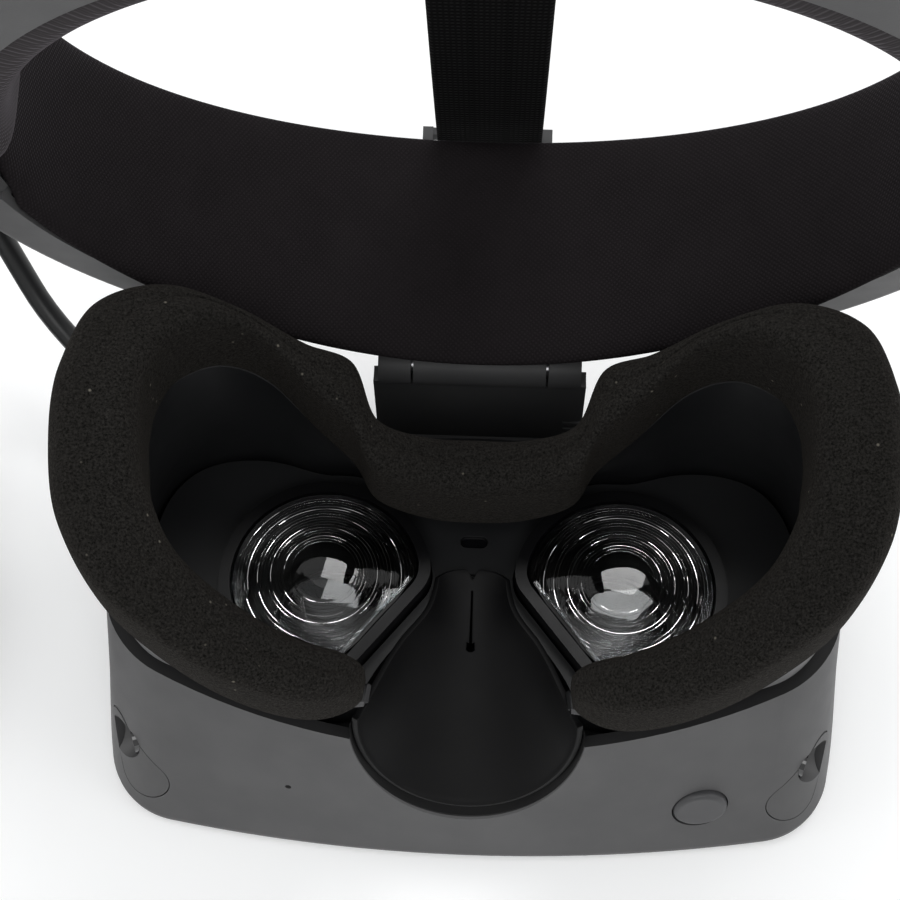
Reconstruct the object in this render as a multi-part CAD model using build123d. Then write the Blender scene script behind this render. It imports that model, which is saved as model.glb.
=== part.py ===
"""Head-worn display: a visor hung on a rigid halo headband, with its cable.

Frame, in millimetres: X to the wearer's right, Y up the wearer's face, Z back towards the
wearer's head.  The visor's flat front face lies on Z = 0, centred on the origin, which is how
the headset rests when it is put down on its face.
"""
from build123d import *
import math
import os

# ---------------------------------------------------------------- driving dimensions
WALL = 2.4                  # moulded shell wall
GAP = 0.4                   # clearance between fixed parts
RIM_Z = 47.0                # height at which the visor's rim outline is defined
SHELL_TOP = 56.0            # loft height before the rim is trimmed
RIM_LOW, RIM_RISE_R = 44.6, 800.0   # rim height at the nose, radius of its rise to the sides

LENS_X, LENS_Y = 32.4, 0.0  # lens centres (64.8 apart)
LENS_R, LENS_CHORD = 20.8, 15.5     # round lens with a nose-side flat
LENS_TOP = 57.5
PANEL_Z = (46.6, 48.6)      # lens panel's thickness

HALO_Y, HALO_Z, HALO_TILT = 68.8, 81.1, 14.6   # pad's front centre and the ring's lean
RING_R = 85.6               # forehead pad's inner radius, ring centred one radius behind it
PAD_T = 9.0
SHELL_LIP = 2.6             # how far the headband's shell reaches past the pad's edges
PAD_TOP, PAD_TOP_DROP = 24.4, 4.4   # pad's upper edge and its drop at x = 80
PAD_LOW, PAD_LOW_RISE = -26.0, 8.8      # the pad's overhanging front edge
PAD_ROLL, PAD_TOP_ROLL = 2.7, 1.8       # depth of that overhang, and how far it stands over the upper lip
SHELL_LOW, SHELL_LOW_RISE = -19.0, 3.6  # edge of the shell's hollow, behind the overhang
SHELL_R = 101.5             # headband shell's outer radius
ARM_W0, ARM_W1 = 72.0, 112.0        # side arms run between these distances back
REAR_C, REAR_R = 117.0, 72.5        # rear cradle's centre and pad radius
REAR_PAD_T = 9.0
REAR_SHELL_R = 95.5
REAR_W0 = 116.0             # front end of the rear cradle
STRAP_W, STRAP_T = 24.2, 1.8

HINGE_Y, HINGE_Z = 50.3, 60.8       # visor's tilt pin
ARM_HALF, ARM_T = 24.5, 4.0         # visor arm's half width and thickness

WHEEL_R, WHEEL_T = 20.0, 12.0
PINION_R = 6.0              # pitch radius
WHEEL_N = -6.0              # wheel axis height in the headband's frame

CORD_D = 5.5
BRANCH_D = 3.6

# headband frame: x to the wearer's left, y back, z up, leaning back by the tilt
tilt = math.radians(HALO_TILT)
HALO = Plane(origin=(0, HALO_Y, HALO_Z), x_dir=(-1, 0, 0), z_dir=(0, math.cos(tilt), math.sin(tilt)))


def on_halo(shape):
    return shape.moved(HALO.location)


def halo_point(x, back, up):
    """Row-frame point for headband coordinates."""
    return HALO.from_local_coords(Vector(x, back, up))


def mirrored(shape):
    return shape.mirror(Plane.YZ)


def face_at(plane, *edges):
    return plane.location * make_face(Wire(list(edges)))


# ---------------------------------------------------------------- visor outline
FRONT = dict(bottom=81.5, bottom_y=-40.5, low=-48.0, side=88.5, top=82.0, top_y=50.0, high=57.0, corner=18.0)
RIM = dict(bottom=81.0, bottom_y=-15.0, low=-35.0, side=82.0, top=78.0, top_y=30.0, high=45.0, corner=22.0)
SIDE_Y = 8.0                # where the visor is widest


def outline(z, inset=0.0):
    """The visor's outline at height z, drawn in by inset."""
    k = z / RIM_Z
    v = {name: FRONT[name] + k * (RIM[name] - FRONT[name]) for name in FRONT}
    b, t, s = v["bottom"] - inset, v["top"] - inset, v["side"] - inset
    by, ty = v["bottom_y"] + inset, v["top_y"] - inset
    bottom = ThreePointArc((-b, by), (0, v["low"] + inset), (b, by))
    right = ThreePointArc((b, by), (s, SIDE_Y), (t, ty))
    top = ThreePointArc((t, ty), (0, v["high"] - inset), (-t, ty))
    left = ThreePointArc((-t, ty), (-s, SIDE_Y), (-b, by))
    face = make_face(Wire([bottom, right, top, left]))
    return Pos(0, 0, z) * fillet(face.vertices(), v["corner"] - 0.5 * inset)


def visor_block(z0, z1, inset=0.0):
    return loft([outline(z0, inset), outline(z1, inset)])


def rim_cut():
    """Everything above the rim, which rises gently from the nose to the sides."""
    return Pos(0, 0, RIM_LOW + RIM_RISE_R) * Rot(90, 0, 0) * Cylinder(RIM_RISE_R, 300)


# ---------------------------------------------------------------- nose opening
# (y, half width, height of the edges, height of the middle)
NOSE = [(4, 7.8, 52.5, 50.0), (-5, 9.8, 52.0, 45.5), (-13, 15.5, 51.5, 40.5), (-30, 24.0, 51.0, 29.0),
        (-47, 33.5, 49.0, 17.2)]
FLAP_T = 1.6


def nose_section(y, half, edge, middle, drop, rise):
    """Crescent between the saddle lowered by drop and the saddle raised by rise."""
    plane = Plane.XZ.offset(-y)
    lower = ThreePointArc((-half, edge - drop), (0, middle - drop), (half, edge - drop))
    upper = ThreePointArc((half, edge + rise), (0, middle + rise), (-half, edge + rise))
    ends = [Line((half, edge - drop), (half, edge + rise)), Line((-half, edge + rise), (-half, edge - drop))]
    return face_at(plane, lower, ends[0], upper, ends[1])


def nose_solid(drop, rise, grow=0.0):
    return loft([nose_section(y, half + grow, edge, middle, drop, rise) for y, half, edge, middle in NOSE])


nose_clear = nose_solid(FLAP_T + 0.6, 40, 0.8)
flap = nose_solid(FLAP_T, 0.0) & visor_block(0.01, SHELL_TOP, 0.7)

# ---------------------------------------------------------------- front shell
LIP_Z, LIP_IN = 3.2, 3.0    # rounded front edge: height and how far it draws in
lip = loft([outline(0, LIP_IN), outline(0.3 * LIP_Z, 0.32 * LIP_IN), outline(LIP_Z)])
shell = lip + visor_block(LIP_Z, SHELL_TOP)
shell -= visor_block(WALL, SHELL_TOP + 1, WALL)
shell -= rim_cut()
shell -= nose_clear

# side cameras look down and outwards through teardrop bezels at the lower corners
CAM_AT = Vector(77.8, -27.0, 17.5)
CAM_DIR = Vector(0.92, -0.36, 0.10).normalized()
cam_plane = Plane(origin=CAM_AT, x_dir=Vector(0, 0, 1).cross(CAM_DIR), z_dir=CAM_DIR)
CAM_LENS_R = 4.3
BEZEL_DIR = Vector(0.70, -0.68, 0.22).normalized()      # the bezels wrap round the corner
bezel_plane = Plane(origin=(77.0, -31.0, 18.0), x_dir=Vector(0, 0, 1).cross(BEZEL_DIR), z_dir=BEZEL_DIR)


def teardrop(grow=0.0):
    big = Pos(-3.2, -5.2) * Circle(6.6 + grow)
    tip = Pos(7.2, 4.8) * Circle(3.2 + grow)
    return make_hull([*big.edges(), *tip.edges()])


def teardrop_prism(grow, low, high):
    return extrude(bezel_plane.location * Pos(0, 0, low) * teardrop(grow), high - low, dir=tuple(BEZEL_DIR))


bezel = teardrop_prism(0, -8, 12) & (visor_block(0.5, 46) - visor_block(0.4, 47, 3.4))
dimple = Pos(0, 2, 3.0) * Cone(CAM_LENS_R, 8.0, 8.0)
bezel -= cam_plane.location * dimple
bezel -= cam_plane.location * Pos(0, 2, -4) * Cylinder(CAM_LENS_R, 12)
bezel = bezel.solids().sort_by(SortBy.VOLUME)[-1]
shell -= teardrop_prism(0.25, -10, 14)
shell -= mirrored(teardrop_prism(0.25, -10, 14))
cam_room = cam_plane.location * Pos(0, 2, -3.4) * Cylinder(CAM_LENS_R + 0.15, 14.6)
shell -= cam_room
shell -= mirrored(cam_room)
side_window = cam_plane.location * Pos(0, 2, -0.6) * Cylinder(CAM_LENS_R - 0.1, 1.2)
side_module = cam_plane.location * Pos(0, 2, -6.0) * Cylinder(CAM_LENS_R - 0.6, 9)

# front cameras sit behind windows let into the front face
FRONT_CAM = (56.0, -16.0)
front_window = Pos(FRONT_CAM[0], FRONT_CAM[1], 1.1) * Cylinder(7.5, 1.4)
front_module = Pos(FRONT_CAM[0], FRONT_CAM[1], 4.4) * Cylinder(4.2, 4.8)
for side in (1, -1):
    shell -= Pos(side * FRONT_CAM[0], FRONT_CAM[1], 1) * Cylinder(7.7, 8)

# top camera, just in front of the visor arm
TOP_CAM_Z = 11.0
shell -= Pos(0, 52, TOP_CAM_Z) * Rot(90, 0, 0) * Cylinder(4.6, 14)
top_window = Pos(0, 52.6, TOP_CAM_Z) * Rot(90, 0, 0) * Cylinder(4.4, 1.6)

# slot that the visor arm slides through, and the depth rail behind it
SLOT_Y = (HINGE_Y - ARM_T / 2 - 0.4, HINGE_Y + ARM_T / 2 + 0.5)
shell -= Pos(0, sum(SLOT_Y) / 2, 27.5) * Box(2 * ARM_HALF + 1.4, SLOT_Y[1] - SLOT_Y[0], 46)
shell -= Pos(0, 46.5, 46.0) * Box(2 * ARM_HALF + 1.4, 12, 31)      # notch in the rim in front of the arm

# depth release button on the lower wall
BUTTON_DIR = Vector(0.11, -0.958, 0.265).normalized()
BUTTON_AT = Vector(53.2, -39.2, 17.5)
BUTTON_R = 6.2
button_plane = Plane(origin=BUTTON_AT, x_dir=(1, 0, 0.0), z_dir=BUTTON_DIR)
shell -= button_plane.location * Cylinder(BUTTON_R + 0.3, 14)
shell -= button_plane.location * Pos(0, 0, -5.5) * Cylinder(BUTTON_R + 1.6, 5.2)

# microphone port
MIC_AT = Vector(-40.1, -38.5, 22.9)
mic_plane = Plane(origin=MIC_AT, x_dir=(1, 0, 0), z_dir=(-0.1, -0.96, 0.265))
shell -= mic_plane.location * Cylinder(0.7, 16)

# cable gland at the upper left corner
GLAND_AT = Vector(-74.5, 39.0, 24.0)
GLAND_TIP = Vector(-85.0, 57.0, 27.0)
gland_dir = (GLAND_TIP - GLAND_AT).normalized()
gland_plane = Plane(origin=GLAND_AT, z_dir=gland_dir)
gland_len = (GLAND_TIP - GLAND_AT).length
shell -= gland_plane.location * Cylinder(4.6, 16)
gland = gland_plane.location * Pos(0, 0, gland_len / 2 - 2.5) * Cone(4.3, 3.5, gland_len + 5)
gland -= gland_plane.location * Pos(0, 0, gland_len / 2 - 2.5) * Cylinder(CORD_D / 2 + 0.05, gland_len + 8)

# ---------------------------------------------------------------- inside the visor
HOUSING_Z = (36.0, 38.4)
housing = visor_block(HOUSING_Z[0], HOUSING_Z[1], WALL + 1.6)
housing -= nose_clear
housing -= Pos(0, SLOT_Y[0] + 10, 38) * Box(2 * ARM_HALF + 8, 22, 12)

# face frame and foam: (outer x, y) (inner x, y) how far in the frame's foot stands, frame top, foam top
FACE = [((22, -33.5), (21, -25), 6.5, 60, 76), ((34, -36.5), (33, -25), 8.2, 65, 83),
        ((48, -35.5), (47, -20.5), 11.8, 74, 92), ((60, -31), (58, -13.5), 15.5, 82, 102),
        ((70, -25), (63.5, -3.5), 15.5, 91, 110), ((77.9, -13.9), (65, 4), 11.0, 94, 114),
        ((81.5, 2), (65.5, 11), 7.3, 95.5, 116), ((81.5, 19), (64.5, 19), 7.5, 95.5, 116.5),
        ((76.6, 32.8), (61, 25.5), 9.8, 95, 116), ((64, 39.2), (53, 31), 10.4, 91.5, 113),
        ((50, 38.2), (44, 31), 7.0, 85, 106.5), ((36, 36), (34, 25), 4.5, 75, 97),
        ((27, 35.3), (26.5, 20), 4, 70, 92), ((20.5, 24.5), (20.5, 13.2), -5, 65, 85),
        ((11, 24.2), (11, 12.5), -6, 59, 79), ((0, 25.3), (0, 12.5), -5, 57, 76)]
FRAME_FOOT, FRAME_WAIST = 38.7, 50.5    # the frame stands straight up to its waist, then flares
FRAME_WALL = 3.0
FOAM_LEAN = 0.15            # the foam's brow side spreads towards the face by this slope


def both_sides(stations):
    """Stations from the right nose end over the forehead to the left nose end."""
    flip = [tuple((-p[0], p[1]) if isinstance(p, tuple) else p for p in s) for s in reversed(stations[:-1])]
    return stations + flip


def section(points):
    return make_face(Polyline(*points, close=True))


def toward(p, q, d):
    """The point d from p on the way to q."""
    v = Vector(*q) - Vector(*p)
    return tuple(Vector(*p) + v.normalized() * d)[:2]


foam_sections = []
frame_sections = []
for outer, inner, step, low, high in both_sides(FACE):
    lean = toward(outer, inner, max(0.0, outer[1] - 16) * FOAM_LEAN)
    foam_sections.append(section([(*lean, low), (*outer, high), (*inner, high), (*inner, low)]))
    foot, foot_in = toward(outer, inner, step), toward(outer, inner, step + FRAME_WALL)
    rim_out, rim_in = toward(lean, inner, 2.5), toward(inner, outer, 1.0)
    frame_sections.append(section([(*foot, FRAME_FOOT), (*foot, FRAME_WAIST), (*rim_out, low - 0.3),
                                (*rim_in, low - 0.3), (*foot_in, FRAME_WAIST), (*foot_in, FRAME_FOOT)]))
foam = loft(foam_sections, ruled=True)
frame = loft(frame_sections, ruled=True)
frame -= nose_clear

# lens panel closes the inside of the frame round the two lens rings
panel_points = [toward(outer, inner, step + FRAME_WALL + 1.2) for outer, inner, step, _, _ in both_sides(FACE)]
panel = extrude(Pos(0, 0, PANEL_Z[0]) * make_face(Spline(*panel_points, periodic=True)), PANEL_Z[1] - PANEL_Z[0])
panel -= nose_clear


def lens_outline(grow=0.0):
    """Round lens with a straight flat on the lower nose side (for the wearer's right lens)."""
    disc = Circle(LENS_R + grow)
    cut = Rot(0, 0, 218) * Pos(LENS_CHORD + grow + 30, 0) * Rectangle(60, 90)
    face = disc - cut
    return fillet(face.vertices(), 7.0 + 0.5 * grow)


lens_at = Pos(LENS_X, LENS_Y)
LENS_BASE = 50.0
lens = extrude(lens_at * Pos(0, 0, LENS_BASE) * lens_outline(), LENS_TOP - LENS_BASE)
LENS_BULGE_R = 62.0
lens &= lens_at * Pos(0, 0, LENS_TOP - LENS_BULGE_R) * Sphere(LENS_BULGE_R)
RING_Z = (20.0, 53.6)
ring = extrude(lens_at * Pos(0, 0, RING_Z[0]) * lens_outline(2.6), RING_Z[1] - RING_Z[0])
ring -= extrude(lens_at * Pos(0, 0, RING_Z[0] - 1) * lens_outline(-1.6), 60)
ring -= extrude(lens_at * Pos(0, 0, LENS_BASE - 0.1) * lens_outline(0.12), 20)
ring_clear = extrude(lens_at * Pos(0, 0, RING_Z[0] - 10) * lens_outline(3.0), 70)
for cutter in (ring_clear, mirrored(ring_clear)):
    panel -= cutter
    housing -= cutter
PROX_AT = (0.0, 11.9)
prox_slot = SlotOverall(6.2, 3.0)
panel -= Pos(*PROX_AT, PANEL_Z[0] - 1) * extrude(prox_slot, 10)
panel -= frame
panel = panel.solids().sort_by(SortBy.VOLUME)[-1]
prox = Pos(*PROX_AT, PANEL_Z[0] + 0.1) * extrude(SlotOverall(5.9, 2.7), 1.0)
housing -= Pos(0, 3, 37) * Box(14, 44, 8)

CHASSIS_Z = (16.6, 18.8)
chassis = visor_block(CHASSIS_Z[0], CHASSIS_Z[1], WALL + 2.0)
chassis -= Pos(0, 60, 18) * Box(2 * ARM_HALF + 8, 32, 12)
module_room = cam_plane.location * Pos(0, 2, -6) * Cylinder(CAM_LENS_R + 1.0, 14)
bezel_room = teardrop_prism(0.8, -9, 6)
for cutter in (module_room, bezel_room, mirrored(module_room), mirrored(bezel_room)):
    chassis -= cutter
chassis -= button_plane.location * Pos(0, 0, 0.4) * Cylinder(BUTTON_R + 2.4, 13.6)
chassis -= Pos(BUTTON_AT.X + 2.6, -28.2, 18) * Box(9.8, 6.4, 12)
chassis += button_plane.location * Pos(0, 0, -6.85) * Cylinder(3.9, 1.0)
chassis -= button_plane.location * Pos(0, 0, -9.5) * Cylinder(2.15, 13)
chassis -= Pos(-75, 38, 20) * Box(20, 20, 12)
for side in (1, -1):
    chassis -= Pos(side * LENS_X, 0, 18) * Cylinder(18.5, 8)
SCREW_AT = [(68, 27), (-68, 27), (66, -12), (-66, -12), (34, 29), (-34, 29)]
BOSS_R, SCREW_R = 3.2, 1.4
bosses = []
screws = []
for x, y in SCREW_AT:
    bosses.append(Pos(x, y, CHASSIS_Z[0] / 2 + 0.5) * Cylinder(BOSS_R, CHASSIS_Z[0] - 1.0))
    chassis -= Pos(x, y, 18) * Cylinder(SCREW_R + 0.15, 8)
    stem = Pos(x, y, CHASSIS_Z[1] - 4) * Cylinder(SCREW_R, 8)
    screws.append(stem + Pos(x, y, CHASSIS_Z[1] + 0.8) * Cylinder(2.6, 1.6))
for (x, y), boss in zip(SCREW_AT, bosses):
    shell += boss - Pos(x, y, 15) * Cylinder(SCREW_R + 0.02, 10)
display = Pos(0, 2.9, 14.6) * Box(128, 57.2, 2.0)
heat_plate = Pos(0, 2, 12.2) * Box(112, 56, 1.2)
board = Pos(0, 2, 8.6) * Box(124, 64, 1.6)
for x, y in SCREW_AT:
    for z, size in ((14.6, 4), (12.2, 4), (8.6, 4)):
        pocket = Pos(x, y, z) * Cylinder(BOSS_R + 0.6, size)
        display -= pocket
        heat_plate -= pocket
        board -= pocket
board += Pos(0, 0, 10.4) * Box(40, 30, 2.0)
board -= Pos(0, 50, 9) * Box(20, 30, 6)

RAIL_Z = (5.0, 25.0)
rail = Pos(0, 46.4, 15) * Box(57, 2.8, RAIL_Z[1] - RAIL_Z[0])
for side in (1, -1):
    rail += Pos(side * (ARM_HALF + 2.05), 47.6, 12) * Box(3.5, 5.2, 14)
rail -= Pos(0, 52, TOP_CAM_Z) * Rot(90, 0, 0) * Cylinder(6.2, 30)
rail -= shell
top_module = Pos(0, 47.8, TOP_CAM_Z) * Rot(90, 0, 0) * Cylinder(3.6, 4)

# ---------------------------------------------------------------- depth button
button = button_plane.location * Pos(0, 0, -1.7) * Cylinder(BUTTON_R, 3.4)
button = fillet(button.faces().sort_by(Axis((0, 0, 0), tuple(BUTTON_DIR)))[-1].edges(), 1.2)
button += button_plane.location * Pos(0, 0, -3.6) * Cylinder(BUTTON_R + 1.2, 0.8)
button += button_plane.location * Pos(0, 0, -6.4) * Cylinder(2.0, 5.2)
SPRING_R = (2.4, 3.6)
spring = button_plane.location * Pos(0, 0, -5.2) * (Cylinder(SPRING_R[1], 2.2) - Cylinder(SPRING_R[0], 2.2))
ROD_X, ROD_Z = BUTTON_AT.X + 5.2, 21.0      # the push rod runs above the chassis, outside the lens ring
rod = Pos(ROD_X, 2.4, ROD_Z) * Box(3.0, 65.2, 1.6)
rod += Pos(BUTTON_AT.X + 2.6, -29.4, ROD_Z - 2.15) * Box(8.2, 1.6, 5.9)
rod -= button
rod += Pos(BUTTON_AT.X + 2.0, 34.0, ROD_Z) * Box(9.4, 3.0, 1.6)

# rocker that turns the rod's push into the pawl's pull away from the arm
LEVER_AT, LEVER_ARM = (38.0, 38.4), 14.0
lever = Pos(*LEVER_AT, 21.9) * Box(2 * LEVER_ARM + 4, 5.0, 2.2)
lever += Pos(*LEVER_AT, 21.9) * Cylinder(4.0, 2.2)
lever += Pos(LEVER_AT[0] - LEVER_ARM, LEVER_AT[1], 25.0) * Box(4.0, 5.0, 6.4)
PAWL_GAP = 0.35             # the pawl stands off the arm's teeth, so that the arm slides freely
pawl_y = HINGE_Y - ARM_T / 2 - PAWL_GAP
lever += Pos(LEVER_AT[0] - LEVER_ARM, (LEVER_AT[1] + pawl_y) / 2, 26.9) * Box(4.0, pawl_y - LEVER_AT[1], 2.6)
LEVER_PIN_R = 1.5
lever -= Pos(*LEVER_AT, 22) * Cylinder(LEVER_PIN_R + 0.05, 6)
lever_pin = Pos(*LEVER_AT, 21.1) * Cylinder(LEVER_PIN_R, 4.6) + Pos(*LEVER_AT, 19.7) * Cylinder(3.2, 1.8)
lever_pin += Pos(*LEVER_AT, 23.45) * Cylinder(2.6, 0.7)
shell -= Pos(LEVER_AT[0] - LEVER_ARM, 45.5, 27) * Box(6.4, 10, 5)

# ---------------------------------------------------------------- visor arm (tilts, and slides in the visor)
ARM_LOW = 6.0
arm = Pos(0, HINGE_Y, (ARM_LOW + HINGE_Z) / 2) * Box(2 * ARM_HALF, ARM_T, HINGE_Z - ARM_LOW)
BARREL_R, PIN_R = 4.6, 2.0
arm -= Pos(0, HINGE_Y, HINGE_Z) * Rot(0, 90, 0) * Cylinder(BARREL_R + 0.6, 60)
arm += Pos(0, HINGE_Y, HINGE_Z) * Rot(0, 90, 0) * Cylinder(BARREL_R, 30)
arm += Pos(0, HINGE_Y, HINGE_Z - 4) * Box(30, ARM_T, 6)
arm -= Pos(0, HINGE_Y, HINGE_Z) * Rot(0, 90, 0) * Cylinder(PIN_R + 0.05, 62)
arm -= Pos(0, HINGE_Y, TOP_CAM_Z) * Box(14, 12, 30)
TEETH, TOOTH_PITCH = 7, 3.0
for i in range(TEETH):
    arm -= Pos(LEVER_AT[0] - LEVER_ARM - 1.4, HINGE_Y - ARM_T / 2, 20.6 + TOOTH_PITCH * i) * Box(5.4, 1.6, 1.2)
hinge_pin = Pos(0, HINGE_Y, HINGE_Z) * Rot(0, 90, 0) * Cylinder(PIN_R, 46)

# ---------------------------------------------------------------- headband, front
RING_C = RING_R             # the ring's centre lies one radius behind the pad's front


def band(centre, r0, r1, n0=-45.0, n1=45.0):
    tube = Cylinder(r1, n1 - n0) - Cylinder(r0, n1 - n0)
    return Pos(0, centre, (n0 + n1) / 2) * tube


def edge_profile(grow, base=None, rise=None):
    """Front view of the pad or its shell, their edges drawing together towards the sides."""
    base, rise = (SHELL_LOW, SHELL_LOW_RISE) if base is None else (base, rise)
    far = 130.0
    k = (far / 80.0) ** 2
    top = ThreePointArc((-far, PAD_TOP - PAD_TOP_DROP * k + grow), (0, PAD_TOP + grow),
                        (far, PAD_TOP - PAD_TOP_DROP * k + grow))
    low = ThreePointArc((far, base + rise * k - grow), (0, base - grow), (-far, base + rise * k - grow))
    right, left = Line(top @ 1, low @ 0), Line(low @ 1, top @ 0)
    return extrude(face_at(Plane.XZ, top, right, low, left), 130, both=True)


def ahead_of(back):
    return Pos(0, back - 100, 0) * Box(300, 200, 200)


def behind(back):
    return Pos(0, back + 100, 0) * Box(300, 200, 200)


pad = band(RING_C, RING_R, RING_R + PAD_T) & edge_profile(0) & ahead_of(ARM_W0 - 4)
pad += band(RING_C, RING_R, RING_R + PAD_ROLL) & edge_profile(PAD_TOP_ROLL, PAD_LOW + PAD_TOP_ROLL, PAD_LOW_RISE) & ahead_of(ARM_W0 - 4)
PAD_END_W, PAD_END_T = 84.0, 2.6    # the pad runs on, thinner, over the inner faces of the side arms
pad += band(RING_C, RING_R, RING_R + PAD_END_T) & edge_profile(-1.6, PAD_LOW, PAD_LOW_RISE) & ahead_of(PAD_END_W) & behind(ARM_W0 - 4.2)
pad_room = band(RING_C, 60, RING_R + PAD_END_T + 0.3) & edge_profile(-1.2, PAD_LOW, PAD_LOW_RISE) & ahead_of(PAD_END_W + 0.4)
fore_shell = band(RING_C, RING_R + 2.9, SHELL_R) & edge_profile(SHELL_LIP) & ahead_of(ARM_W0)
outer_edges = [e for e in fore_shell.edges() if e.length > 150 and
               Vector(e.position_at(0.5).X, e.position_at(0.5).Y - RING_C, 0).length > SHELL_R - 1]
fore_shell = fillet(outer_edges, 4.0)
fore_shell -= band(RING_C, 60, SHELL_R - WALL) & edge_profile(0.4) & ahead_of(ARM_W0 - 3.6)
fore_shell -= band(RING_C, 60, RING_R + PAD_T - 0.6, 2, 60)
arm_mouth = Pos(0, -18, -27) * Box(2 * ARM_HALF + 5, 18, 26)
fore_shell -= arm_mouth
PLATE_R = RING_R + PAD_T + 0.3
plate = band(RING_C, PLATE_R, PLATE_R + 2.0) & edge_profile(-1.5) & ahead_of(ARM_W0 - 6)
plate -= Pos(0, -10, -29) * Box(2 * ARM_HALF + 5, 20, 26)

hinge_local = HALO.to_local_coords(Vector(0, HINGE_Y, HINGE_Z))
knuckles = []
for side in (1, -1):
    x = side * 19.3
    ear = Pos(x, hinge_local.Y, hinge_local.Z) * Rot(0, 90, 0) * Cylinder(BARREL_R, 7.4)
    web = Pos(x, -10.9, -15.4) * Box(7.4, 2.6, 11.0) + Pos(x, -12.35, -17.55) * Box(7.4, 5.5, 6.7)
    web += Pos(x, hinge_local.Y, hinge_local.Z + 3.4) * Box(7.4, 5.4, 6.0)
    knuckles.append(ear + web)
hinge_bracket = band(RING_C, PLATE_R + 2.0, SHELL_R - WALL, -11, -5) & Pos(0, -10, -8) * Box(50, 30, 20)
for knuckle in knuckles:
    hinge_bracket += knuckle
hinge_bracket -= band(RING_C, 60, PLATE_R + 2.0)
hinge_bracket -= fore_shell
hinge_bracket = on_halo(hinge_bracket.solids().sort_by(SortBy.VOLUME)[-1])
hinge_bracket -= Pos(0, HINGE_Y, HINGE_Z) * Rot(0, 90, 0) * Cylinder(PIN_R, 60)
hinge_bracket -= Pos(0, HINGE_Y, HINGE_Z) * Rot(0, 90, 0) * Cylinder(BARREL_R + 0.7, 31)


# ---------------------------------------------------------------- side arms, speakers, racks
def rounded(plane_back, x, up, width, height, radius):
    plane = Plane(origin=(x, plane_back, up), x_dir=(1, 0, 0), z_dir=(0, -1, 0))
    return plane.location * RectangleRounded(width, height, radius)


EDGE_X = 95.0 / 80.0
arm_top = PAD_TOP + SHELL_LIP - PAD_TOP_DROP * EDGE_X ** 2
arm_low = SHELL_LOW - SHELL_LIP + SHELL_LOW_RISE * EDGE_X ** 2
side_arm = loft([rounded(ARM_W0 + 0.2, 93.3, (arm_top + arm_low) / 2, 14.4, arm_top - arm_low, 3.5),
                 rounded(ARM_W0 + 20, 92.0, -1.0, 13.0, 29.0, 4.0),
                 rounded(ARM_W1, 88.4, -4.0, 8.2, 24.0, 3.6)])
RACK_X, RACK_T = 88.4, 1.6
RACK_LEVEL = {"left": -11.6, "right": -0.4}     # strip centre heights, either side of the pinion
RACK_H = 5.6


def rack(level):
    straight = Pos(RACK_X, (ARM_W1 - 12 + REAR_C) / 2, level) * Box(RACK_T, REAR_C - ARM_W1 + 12, RACK_H)
    bend = band(REAR_C, RACK_X - RACK_T / 2, RACK_X + RACK_T / 2, level - RACK_H / 2, level + RACK_H / 2)
    bend &= behind(REAR_C)
    bend -= Pos(-60 - 14, REAR_C + 50, level) * Box(120, 200, 20)
    return straight + bend


racks = {"left": rack(RACK_LEVEL["left"]), "right": rack(RACK_LEVEL["right"]).mirror(Plane.YZ)}
SPEAKER_W, SPEAKER_N = 93.0, -4.0
speaker = Pos(92.0, SPEAKER_W, SPEAKER_N) * Rot(0, 90, 0) * Cylinder(5.4, 4.4)
speaker_room = Pos(92.0, SPEAKER_W, SPEAKER_N) * Rot(0, 90, 0) * Cylinder(5.6, 4.8)
PORT_W, PORT_L = 3.4, 11.0
port = Pos(84.4, SPEAKER_W, SPEAKER_N) * Rot(0, 90, 0) * extrude(SlotOverall(PORT_L, PORT_W), 8)
arm_solids = {}
for name, flip in (("left", False), ("right", True)):
    body = side_arm - speaker_room - port - pad_room
    strip = racks[name].mirror(Plane.YZ) if flip else racks[name]
    body -= strip
    arm_solids[name] = body.mirror(Plane.YZ) if flip else body
grille = Pos(87.4, SPEAKER_W, SPEAKER_N) * Rot(0, 90, 0) * extrude(SlotOverall(PORT_L - 0.4, PORT_W - 0.4), 1.2)

# ---------------------------------------------------------------- rear cradle
REAR_LOW, REAR_TOP = -27.0, 14.0
REAR_ROLL_LOW = -29.6       # the pad's front edge overhangs the shell's lower lip
rear_pad = band(REAR_C, REAR_R, REAR_R + REAR_PAD_T, REAR_LOW, REAR_TOP) & behind(REAR_W0 + 2)
rear_pad += band(REAR_C, REAR_R - 1.0, REAR_R + 5.6, REAR_ROLL_LOW, REAR_LOW + 2) & behind(REAR_W0 + 2)
LINER_R = REAR_R + REAR_PAD_T + 0.2
rear_liner = band(REAR_C, LINER_R, LINER_R + 1.4, REAR_LOW - 0.5, REAR_TOP + 0.5) & behind(REAR_W0 + 1)
rear_shell = band(REAR_C, REAR_R + 6.0, REAR_SHELL_R, REAR_LOW - 3.2, REAR_TOP + 3.2) & behind(REAR_W0)
rear_edges = [e for e in rear_shell.edges() if e.length > 150 and
              Vector(e.position_at(0.5).X, e.position_at(0.5).Y - REAR_C, 0).length > REAR_SHELL_R - 1]
rear_shell = fillet(rear_edges, 4.0)
rear_shell -= band(REAR_C, 50, REAR_SHELL_R - 2.2, REAR_LOW - 0.6, REAR_TOP + 0.6)
WHEEL_W0 = REAR_C + REAR_SHELL_R + 1.5
boss = Pos(0, WHEEL_W0 - 6.0, WHEEL_N) * Rot(90, 0, 0) * Cylinder(WHEEL_R + 3.0, 9.0)
boss -= band(REAR_C, 0, REAR_SHELL_R - 0.4)
rear_shell += boss
rear_shell -= Pos(0, WHEEL_W0 + 1.0, WHEEL_N) * Rot(90, 0, 0) * Cylinder(WHEEL_R + 0.5, 4.0)
AXLE_R = 2.5
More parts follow.
